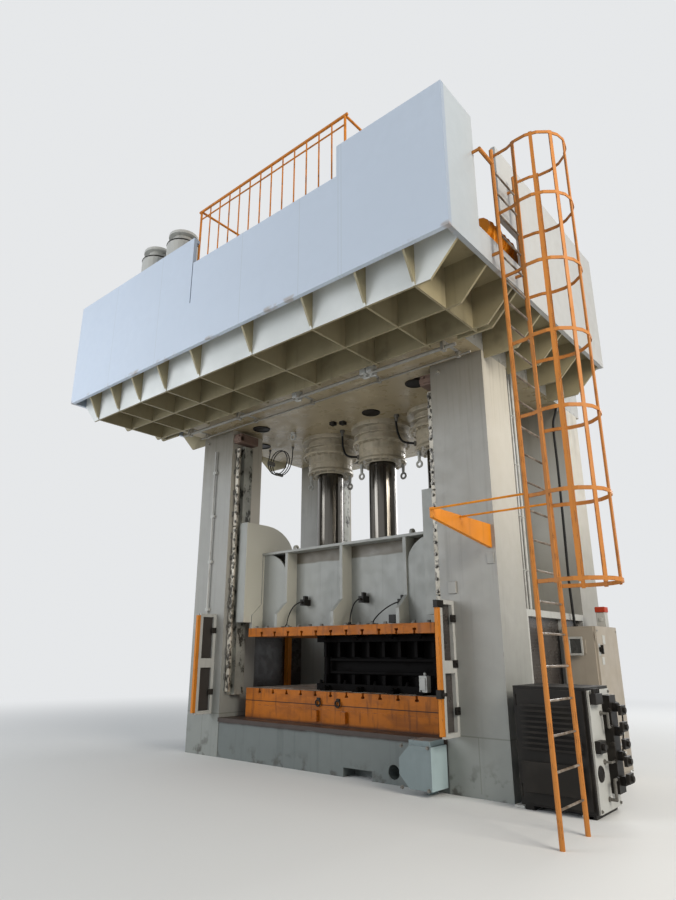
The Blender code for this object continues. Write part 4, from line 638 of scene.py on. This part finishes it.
def bolt_ring(bm, centre, radius, count, size, out):
    for index in range(count):
        turn = math.tau * (index + 0.5) / count
        foot = Vector(centre) + Vector((math.cos(turn) * radius, math.sin(turn) * radius, 0.0))
        bolt(bm, foot, out, size)


def pipe(bm, points, radius):
    """A bent rigid pipe, with a ball at each bend."""
    sides = 10
    for start, end in zip(points, points[1:]):
        rod(bm, start, end, radius, sides)
    for point in points[1:-1]:
        ball = Matrix.Translation(Vector(point))
        bmesh.ops.create_uvsphere(bm, u_segments=sides, v_segments=8, radius=radius * 1.02, matrix=ball)


def hoop(bm, centre, radius, half, axis="Z", count=28):
    """A round bar bent to a ring."""
    sides = 8
    turn = {"X": Matrix.Rotation(math.pi / 2, 4, "Y"), "Y": Matrix.Rotation(math.pi / 2, 4, "X")}
    place = Matrix.Translation(Vector(centre)) @ turn.get(axis, Matrix.Identity(4))
    rings = []
    for index in range(count):
        angle = math.tau * index / count
        ring = []
        for step in range(sides):
            inner = math.tau * step / sides
            reach = radius + math.cos(inner) * half
            point = Vector((math.cos(angle) * reach, math.sin(angle) * reach, math.sin(inner) * half))
            ring.append(bm.verts.new(place @ point))
        rings.append(ring)
    for index, ring in enumerate(rings):
        following = rings[(index + 1) % count]
        for step in range(sides):
            after = (step + 1) % sides
            bm.faces.new((ring[step], following[step], following[after], ring[after]))


def piece(name, body, finish, build, bevel=0.0):
    bm = bmesh.new()
    build(bm)
    bmesh.ops.recalc_face_normals(bm, faces=bm.faces)
    mesh = bpy.data.meshes.new(name)
    bm.to_mesh(mesh)
    bm.free()
    obj = bpy.data.objects.new(name, mesh)
    bpy.context.scene.collection.objects.link(obj)
    mesh.materials.append(finish)
    if bevel:
        rounded = obj.modifiers.new("rounded", "BEVEL")
        rounded.width = bevel
        rounded.segments = 2
        rounded.limit_method = "ANGLE"
    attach(obj, body)


# Cords
def curve_through(points, steps):
    """A smooth line through the points, with so many steps from each to the next."""
    points = [Vector(point) for point in points]
    held = [points[0] * 2 - points[1]] + points + [points[-1] * 2 - points[-2]]
    line = []
    for index in range(1, len(held) - 2):
        before, start, end, after = held[index - 1 : index + 3]
        for step in range(steps):
            t = step / steps
            square = 2 * before - 5 * start + 4 * end - after
            cube = 3 * start - before - 3 * end + after
            line.append(0.5 * (2 * start + (end - before) * t + square * t * t + cube * t**3))
    line.append(points[-1])
    return line


def cord(name, body, finish, line, diameter):
    """A cable or hose that leaves the press at the line's start and goes back into it at its end."""
    data = bpy.data.curves.new(name, "CURVE")
    data.dimensions = "3D"
    data.bevel_depth = diameter / 2
    data.bevel_resolution = 3
    data.use_fill_caps = True
    spline = data.splines.new("POLY")
    spline.points.add(len(line) - 1)
    for point, place in zip(spline.points, line):
        point.co = (*place, 1.0)
    obj = bpy.data.objects.new(name, data)
    bpy.context.scene.collection.objects.link(obj)
    data.materials.append(finish)
    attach(obj, body)


# The cable that is looped and tied under the crown at the left
LOOP_CENTRE = (-2.36, -0.42, 5.36)
LOOP_RADIUS = 0.27
LOOP_SLACK = 0.02
LOOP_STEPS = 57
LOOP_FIRST_TURN = 165.0
LOOP_STEP_TURN = 16.0
LOOP_STEP_BACK = 0.0024
LOOP_IN = ((-2.585, -0.42, CABLE_ROOT), (-2.592, -0.42, 5.57), (-2.608, -0.42, 5.48))
LOOP_OUT = ((-2.087, -0.282, 5.34), (-2.07, -0.28, 5.46), (-2.06, -0.28, CABLE_ROOT))

GLAND_HOSE_LEFT = (
    (-0.63, -0.4, CABLE_ROOT),
    (-0.63, -0.4, 5.5),
    (-0.61, -0.4, 5.3),
    (-0.53, -0.38, 5.14),
    (-0.335, -0.27, 5.1),
)
GLAND_HOSE_RIGHT = (
    (0.62, -0.42, CABLE_ROOT),
    (0.63, -0.42, 5.5),
    (0.66, -0.41, 5.3),
    (0.74, -0.38, 5.15),
    (0.93, -0.25, 5.1),
)
WINDOW_CABLE = (
    (2.99, 0.97, CABLE_ROOT),
    (2.99, 0.9, 5.5),
    (3.0, 0.74, 5.3),
    (3.03, 0.62, 5.05),
    (3.05, 0.58, 4.5),
    (3.06, 0.54, 3.6),
    (3.07, 0.48, 2.7),
    (3.09, 0.45, 2.2),
    (3.1, 0.45, 1.981),
)
PUMP_CABLE = (
    (4.12, -1.319, 1.1),
    (4.12, -1.24, 1.09),
    (4.12, -1.13, 1.02),
    (4.1, -1.07, 0.85),
    (4.06, -1.05, 0.6),
    (4.01, -1.05, 0.38),
    (3.93, -1.08, 0.25),
    (3.87, -1.14, 0.24),
    (3.85, -1.219, 0.27),
)

# Hoses from brackets on the slide's wall down to its plate: X and Z of each point, and Y for all three
SLIDE_HOSES = {
    "slide_hose_left": (
        (-0.93, 2.44), (-0.95, 2.43), (-1.02, 2.36), (-1.09, 2.23), (-1.11, 2.12), (-1.11, PLATE_TOP)
    ),
    "slide_hose_middle": (
        (0.34, 2.43), (0.33, 2.42), (0.3, 2.35), (0.27, 2.24), (0.26, 2.13), (0.26, PLATE_TOP)
    ),
    "slide_hose_right": (
        (1.09, 2.35), (1.06, 2.34), (0.95, 2.28), (0.82, 2.19), (0.73, 2.1), (0.7, PLATE_TOP)
    ),
}
SLIDE_HOSE_Y = (-0.961, -1.08, -1.18, -1.24, -1.27, -1.29, -1.3)


def loop_line():
    x, y, z = LOOP_CENTRE
    line = curve_through(LOOP_IN, 4)
    for step in range(LOOP_STEPS):
        turn = math.radians(LOOP_FIRST_TURN + step * LOOP_STEP_TURN)
        reach = LOOP_RADIUS - LOOP_SLACK * math.sin(step * 0.11) ** 2
        back = step * LOOP_STEP_BACK
        line.append(Vector((x + math.cos(turn) * reach, y + back, z + math.sin(turn) * reach)))
    return line + curve_through(LOOP_OUT, 4)


def make_cords(finish):
    """The press's own cables and hoses: each leaves the press and goes back into it."""
    cord("cable_loop", "frame", finish, loop_line(), 0.02)
    cord("gland_hose_left", "frame", finish, curve_through(GLAND_HOSE_LEFT, 5), 0.04)
    cord("gland_hose_right", "frame", finish, curve_through(GLAND_HOSE_RIGHT, 5), 0.04)
    cord("window_cable", "frame", finish, curve_through(WINDOW_CABLE, 3), 0.04)
    cord("pump_cable", "frame", finish, curve_through(PUMP_CABLE, 3), 0.018)
    for name, points in SLIDE_HOSES.items():
        # The first point counts twice, so that the hose leaves the wall straight
        line = [(x, y, z) for (x, z), y in zip(points[:1] + points, SLIDE_HOSE_Y)]
        cord(name, "slide", finish, curve_through(line, 4), 0.02)


# Pieces
def cylinder_pieces(finishes):
    def flanges(bm):
        for x in CYLINDERS:
            upright(bm, x, 0, BARREL_FOOT, 5.335, 0.545, 48)
            upright(bm, x, 0, GLAND_FOOT, 4.995, 0.448, 48)
            upright(bm, x, 0, 5.12, 5.15, 0.442, 48)
            hoop(bm, (x, 0, GLAND_FOOT - 0.002), 0.3, 0.018)

    def bolts(bm):
        for x in CYLINDERS:
            bolt_ring(bm, (x, 0, BARREL_FOOT), 0.492, 24, 0.03, DOWN)
            bolt_ring(bm, (x, 0, GLAND_FOOT), 0.395, 16, 0.034, DOWN)
            bolt_ring(bm, (x, 0, BARREL_TOP), 0.43, 16, 0.07, UP)

    def collars(bm):
        for x in CYLINDERS:
            upright(bm, x, 0, 5.585, CROWN_FOOT + 0.002, 0.575, 48)
            upright(bm, x, 0, 5.45, 5.47, 0.526, 48)

    def eyes(bm):
        for cylinder in CYLINDERS:
            for way in (-1, 1):
                x, y = cylinder + way * 0.31, way * 0.227
                upright(bm, x, y, 4.96, 4.78, 0.034, 14, 0.024)
                hoop(bm, (x, y, 4.73), 0.05, 0.02, "Y", 20)

    piece("cylinder_flanges", "frame", finishes["barrel"], flanges, 0.004)
    piece("cylinder_bolts", "frame", finishes["barrel"], bolts)
    piece("cylinder_collars", "frame", finishes["barrel"], collars, 0.008)
    piece("gland_eyes", "frame", finishes["white"], eyes)


def crown_pieces(finishes):
    hose_x, hose_y = -0.325, -0.262
    pipe_x, pipe_places = 2.97, (-0.93, -0.84, -0.74)

    def heads(bm):
        for side in (-1, 1):
            low, high = sorted((side * 1.99, side * 2.188))
            block(bm, (low, -1.73, 5.4), (high, -1.3, 5.56))
            block(bm, (low, -1.75, 5.43), (high, -1.66, 5.5))
            for z in (5.44, 5.52):
                bolt(bm, (side * 2.05, -1.73, z), FORWARD, 0.035)

    def valves(bm):
        for x in (0.03, 1.42, 1.54):
            block(bm, (x - 0.05, -2.4, 5.54), (x + 0.05, -2.25, CROWN_FOOT + 0.002))
            upright(bm, x, -2.32, 5.545, 5.49, 0.03)
            rod(bm, (x, -2.32, 5.5), (x + 0.09, -2.32, 5.49), 0.014)

    def ports(bm):
        for x, y in ((-0.47, -0.86), (-0.31, -0.77)):
            block(bm, (x - 0.05, y - 0.05, 5.6), (x + 0.05, y + 0.05, CROWN_FOOT + 0.004))
        for x, y in ((-1.74, -1.46), (-2.49, -0.72), (0.37, -0.81), (1.68, -1.38)):
            upright(bm, x, y, 5.652, 5.68, 0.15, 32)
            hoop(bm, (x, y, 5.652), 0.152, 0.012)

    def eye(bm):
        upright(bm, -1.42, -0.92, CROWN_FOOT + 0.003, 5.62, 0.05, 20)
        hoop(bm, (-1.42, -0.92, 5.57), 0.055, 0.018, "Y", 20)

    def glands(bm):
        for x, y, _ in (LOOP_IN[0], LOOP_OUT[-1]):
            upright(bm, x, y, CROWN_FOOT + 0.005, 5.6, 0.03, 16, 0.013)
        for x, y in ((-0.63, -0.4), (0.64, -0.42), (2.99, 0.97)):
            upright(bm, x, y, CROWN_FOOT + 0.008, 5.62, 0.05, 6)
            upright(bm, x, y, 5.62, 5.54, 0.034, 16, 0.024)
        out = Vector((-0.79, -0.61, 0.0)).normalized()
        for x in CYLINDERS[1:]:
            inner = Vector((x + hose_x, hose_y, 5.1))
            rod(bm, inner, inner + out * 0.05, 0.046, 6)
        # The loop's two ties
        rod(bm, (-2.36, -0.44, 5.1), (-2.36, -0.27, 5.1), 0.032, 12)
        block(bm, (-2.64, -0.44, 5.34), (-2.58, -0.27, 5.42))

    def pipes(bm):
        for y, radius in zip(pipe_places, (0.022, 0.016, 0.022)):
            pipe(bm, [(pipe_x, y, CROWN_FOOT + 0.005), (pipe_x, y, 2.24), (pipe_x, y + 0.001, 2.179)], radius)
        for z in (2.7, 3.45, 4.2, 4.95):
            block(bm, (2.945, -1.015, z - 0.02), (2.96, -0.7, z + 0.02))
            for y in pipe_places:
                hoop(bm, (pipe_x, y, z), 0.026, 0.006, count=14)

    def strips(bm):
        for side in (-1, 1):
            low, high = sorted((side * 2.075, side * 2.165))
            for foot, head in ((1.0, 2.35), (2.37, 3.8), (3.82, 5.3)):
                block(bm, (low, GIB_FACE, foot), (high, -1.648, head))

    def strip_bolts(bm):
        for side in (-1, 1):
            for index in range(26):
                bolt(bm, (side * 2.1, GIB_FACE, 1.08 + index * 0.166), FORWARD, 0.034)
            low, high = sorted((side * 2.15, side * 2.185))
            for index in range(11):
                z = 1.2 + index * 0.4
                block(bm, (low, -1.7, z), (high, -1.65, z + 0.09))

    piece("rail_heads", "frame", finishes["rust"], heads, 0.006)
    piece("pipe_valves", "frame", finishes["white"], valves, 0.003)
    piece("crown_ports", "frame", finishes["black"], ports, 0.003)
    piece("crown_eye", "frame", finishes["white"], eye)
    piece("cable_glands", "frame", finishes["zinc"], glands)
    piece("window_pipes", "frame", finishes["white"], pipes)
    piece("gib_strips", "frame", finishes["strip"], strips, 0.003)
    piece("gib_bolts", "frame", finishes["zinc"], strip_bolts)


def column_pieces(finishes):
    def plates(bm):
        block(bm, (2.9, -1.772, 2.7), (3.0, COLUMN_SKIN, 2.84))
        block(bm, (2.32, -1.785, 2.36), (2.44, COLUMN_SKIN, 2.52))
        block(bm, (-2.86, -1.785, 1.3), (-2.74, COLUMN_SKIN, 1.5))
        for x in (-2.9, 2.32):
            for z in (0.74, 5.52):
                bolt(bm, (x, COLUMN_SKIN - 0.002, z), FORWARD, 0.05)

    def cover_bolts(bm):
        for x in (1.76, 2.14):
            for z in (0.08, 0.54):
                bolt(bm, (x, -2.139, z), FORWARD, 0.03)

    def eyes(bm):
        for x in (-0.23, 0.16):
            hoop(bm, (x, -1.475, 0.9), 0.045, 0.012, "Y", 20)
            block(bm, (x - 0.03, -1.47, 0.94), (x + 0.03, -1.448, 0.975))

    piece("column_plates", "frame", finishes["column"], plates, 0.006)
    piece("bed_bolts", "frame", finishes["zinc"], cover_bolts)
    piece("bolster_eyes", "frame", finishes["black"], eyes)


def die_pieces(finishes):
    rib_places = [-0.42 + index * 0.292 for index in range(8)]
    clamp_places = (-0.3, 0.35, 1.0, 1.5)

    def lower_ribs(bm):
        for x in rib_places:
            block(bm, (x - 0.03, -1.1, 1.13), (x + 0.03, -0.92, 1.3))
        block(bm, (-0.5, -1.02, 1.31), (1.7, -0.9, 1.35))
        for x in clamp_places:
            block(bm, (x - 0.06, -1.3, 1.064), (x + 0.06, -1.02, 1.1))
            block(bm, (x - 0.045, -1.2, 1.1), (x + 0.045, -1.02, 1.14))
            bolt(bm, (x, -1.24, 1.1), UP, 0.05)

    def upper_ribs(bm):
        for x in rib_places:
            block(bm, (x - 0.028, -1.1, 1.56), (x + 0.028, -0.92, 1.8))
        block(bm, (-0.5, -1.03, 1.5), (1.7, -0.9, 1.54))
        for x in clamp_places:
            block(bm, (x - 0.06, -1.3, 1.85), (x + 0.06, -1.1, 1.888))
            bolt(bm, (x, -1.24, 1.852), DOWN, 0.05)

    def pins(bm):
        for x in (-0.48, 0.02, 0.6, 1.18, 1.68):
            upright(bm, x, -1.12, 1.1, 1.19, 0.032)
            upright(bm, x, -1.12, 1.19, 1.22, 0.024, 6)

    def sensor(bm):
        block(bm, (1.47, -1.26, 1.1), (1.6, -1.16, 1.32))
        block(bm, (1.49, -1.27, 1.13), (1.58, -1.26, 1.29))
        upright(bm, 1.535, -1.2, 1.32, 1.36, 0.02)

    piece("lower_die_ribs", "frame", finishes["die"], lower_ribs, 0.006)
    piece("upper_die_ribs", "slide", finishes["die"], upper_ribs, 0.006)
    piece("die_pins", "frame", finishes["die"], pins, 0.003)
    piece("die_sensor", "frame", finishes["white"], sensor, 0.006)


def slide_pieces(finishes):
    def fittings(bm):
        for points in SLIDE_HOSES.values():
            x, z = points[0]
            block(bm, (x - 0.05, -1.12, z - 0.05), (x + 0.05, -0.955, z + 0.05))
            rod(bm, (x, -1.118, z), (x, -1.165, z), 0.024, 6)
            block(bm, (x - 0.02, -1.08, z + 0.05), (x + 0.02, -0.99, z + 0.11))
        for points in SLIDE_HOSES.values():
            x = points[-1][0]
            upright(bm, x, -1.3, 2.02, 2.075, 0.026, 6)
            block(bm, (x - 0.07, -1.36, 2.024), (x + 0.07, -1.24, 2.045))
        block(bm, (0.93, -1.2, 2.05), (1.05, -1.05, 2.17))
        rod(bm, (1.05, -1.12, 2.12), (1.2, -1.12, 2.31), 0.009)

    def bolts(bm):
        ribs = (-1.25, 0.0, 1.25)
        for index in range(15):
            x = -1.75 + index * 0.25
            if min(abs(x - rib) for rib in ribs) > 0.06:
                bolt(bm, (x, -1.38, PLATE_TOP), UP, 0.05)

    piece("slide_fittings", "slide", finishes["black"], fittings, 0.004)
    piece("slide_bolts", "slide", finishes["zinc"], bolts)


def guard_pieces(finishes):
    def joints(bm):
        block(bm, (2.325, -2.19, 1.1), (2.39, -2.1, 1.2))
        rod(bm, (2.39, -2.15, 1.15), (2.45, -2.15, 1.15), 0.02)
        block(bm, (2.325, -2.175, 2.17), (2.385, -2.02, 2.262))
        for z in (0.9, 1.45, 2.0):
            block(bm, (2.375, -1.86, z), (2.4, -1.757, z + 0.09))
            bolt(bm, (2.398, -1.8, z + 0.045), RIGHT, 0.026)
        for z in (0.95, 1.95):
            block(bm, (-2.392, -1.86, z), (-2.37, -1.757, z + 0.09))

    piece("guard_joints", "frame", finishes["black"], joints, 0.003)


def pump_pieces(finishes):
    def blocks(bm):
        block(bm, (PUMP_SIDE, -1.87, 1.1), (4.11, -1.66, 1.21))
        for index in range(4):
            upright(bm, 4.075, -1.84 + index * 0.05, 1.205, 1.26, 0.018)
        block(bm, (PUMP_SIDE, -1.86, 0.62), (4.1, -1.68, 0.74))
        rod(bm, (4.1, -1.8, 0.68), (4.135, -1.8, 0.68), 0.035)
        rod(bm, (4.1, -1.72, 0.68), (4.125, -1.72, 0.68), 0.022, 6)
        hoop(bm, (4.044, -1.78, 0.42), 0.065, 0.016, "X")
        rod(bm, (PUMP_SIDE, -1.78, 0.42), (4.05, -1.78, 0.42), 0.05)
        for z in (0.3, 0.47, 0.64, 0.81, 0.98):
            block(bm, (4.198, -1.5, z), (4.235, -1.34, z + 0.1))
            rod(bm, (4.235, -1.42, z + 0.05), (4.262, -1.42, z + 0.05), 0.03, 16)
            rod(bm, (4.12, -1.52, z + 0.05), (4.12, -1.56, z + 0.05), 0.024, 6)

    def pipes(bm):
        # Y and Z of each bend, on the way from the valve stack to the side panel
        for radius, bends in (
            (0.016, ((-1.54, 0.35), (-1.62, 0.35), (-1.62, 0.16))),
            (0.014, ((-1.54, 0.86), (-1.6, 0.86), (-1.6, 1.0))),
            (0.012, ((-1.54, 0.52), (-1.64, 0.52))),
        ):
            y, z = bends[-1]
            pipe(bm, [(4.12, *bend) for bend in bends] + [(PUMP_SIDE, y, z)], radius)
            rod(bm, (PUMP_SIDE, y, z), (4.056, y, z), 0.026, 6)
        for y in (-1.86, -1.28):
            for z in (0.08, 1.21):
                bolt(bm, (4.04, y, z), RIGHT, 0.022)

    def feet(bm):
        for x in (3.15, 3.9):
            for y in (-1.84, -1.3):
                block(bm, (x - 0.06, y - 0.05, 0.0), (x + 0.06, y + 0.05, 0.03))

    def slats(bm):
        for index in range(9):
            z = 0.62 + index * 0.055
            block(bm, (3.3, -2.008, z), (3.9, PUMP_DOOR, z + 0.022))
        block(bm, (3.27, -2.003, 0.2), (3.93, PUMP_DOOR, 0.5))
        # The door's handle
        upright(bm, 3.955, -2.03, 0.66, 0.8, 0.012)
        for z in (0.67, 0.79):
            rod(bm, (3.955, PUMP_DOOR, z), (3.955, -2.03, z), 0.01)

    piece("pump_blocks", "frame", finishes["black"], blocks, 0.003)
    piece("pump_pipes", "frame", finishes["zinc"], pipes)
    piece("pump_feet", "frame", finishes["white"], feet, 0.004)
    piece("pump_door_slats", "pump_cabinet_door", finishes["unit_trim"], slats, 0.002)


def cabinet_pieces(finishes):
    def box(bm):
        block(bm, (3.3, 0.8, 1.979), (3.43, 0.93, 2.2))
        rod(bm, (3.365, 0.8, 2.1), (3.365, 0.79, 2.1), 0.03)

    def box_top(bm):
        block(bm, (3.29, 0.79, 2.2), (3.44, 0.94, 2.28))

    def window_frame(bm):
        for left, foot, right, head in (
            (3.14, 1.59, 3.34, 1.62),
            (3.14, 1.81, 3.34, 1.84),
            (3.14, 1.62, 3.165, 1.81),
            (3.315, 1.62, 3.34, 1.81),
        ):
            block(bm, (left, 0.012, foot), (right, 0.03, head))
        # The door's handle
        block(bm, (3.07, 0.0, 1.0), (3.1, 0.03, 1.16))
        rod(bm, (3.085, 0.004, 1.03), (3.085, -0.02, 1.03), 0.014)

    def window(bm):
        block(bm, (3.16, 0.018, 1.615), (3.32, 0.029, 1.815))

    def plates(bm):
        block(bm, (CABINET_SIDE, 0.32, 1.74), (3.518, 0.42, 1.86))
        block(bm, (CABINET_SIDE, 0.22, 1.47), (3.518, 0.31, 1.57))
        block(bm, (CABINET_SIDE, 0.13, 1.59), (3.514, 0.21, 1.75))
        for z in (0.3, 0.42, 0.54):
            block(bm, (CABINET_SIDE, 0.3, z), (3.516, 0.76, z + 0.03))
        for y in (0.14, 0.92):
            for z in (0.07, 1.92):
                bolt(bm, (CABINET_SIDE, y, z), RIGHT, 0.02)

    piece("cabinet_box", "frame", finishes["white"], box, 0.006)
    piece("cabinet_box_top", "frame", finishes["red"], box_top, 0.01)
    piece("cabinet_window_frame", "control_cabinet_door", finishes["white"], window_frame, 0.003)
    piece("cabinet_window", "control_cabinet_door", finishes["glass"], window, 0.002)
    piece("cabinet_plates", "frame", finishes["white"], plates, 0.002)


def deck_pieces(finishes):
    def bands(bm):
        for x in (-2.178, -1.438):
            for z in (7.0, 7.9, 8.3):
                hoop(bm, (x, -3.72, z), 0.268, 0.011, count=32)

    piece("tank_bands", "frame", finishes["black"], bands)


make_camera()
finishes = make_finishes()
paint_nodes(finishes)
make_cords(finishes["rubber"])
cylinder_pieces(finishes)
crown_pieces(finishes)
column_pieces(finishes)
die_pieces(finishes)
slide_pieces(finishes)
guard_pieces(finishes)
pump_pieces(finishes)
cabinet_pieces(finishes)
deck_pieces(finishes)
make_floor()
make_world()
make_lights()
bpy.context.scene.view_settings.view_transform = "Standard"
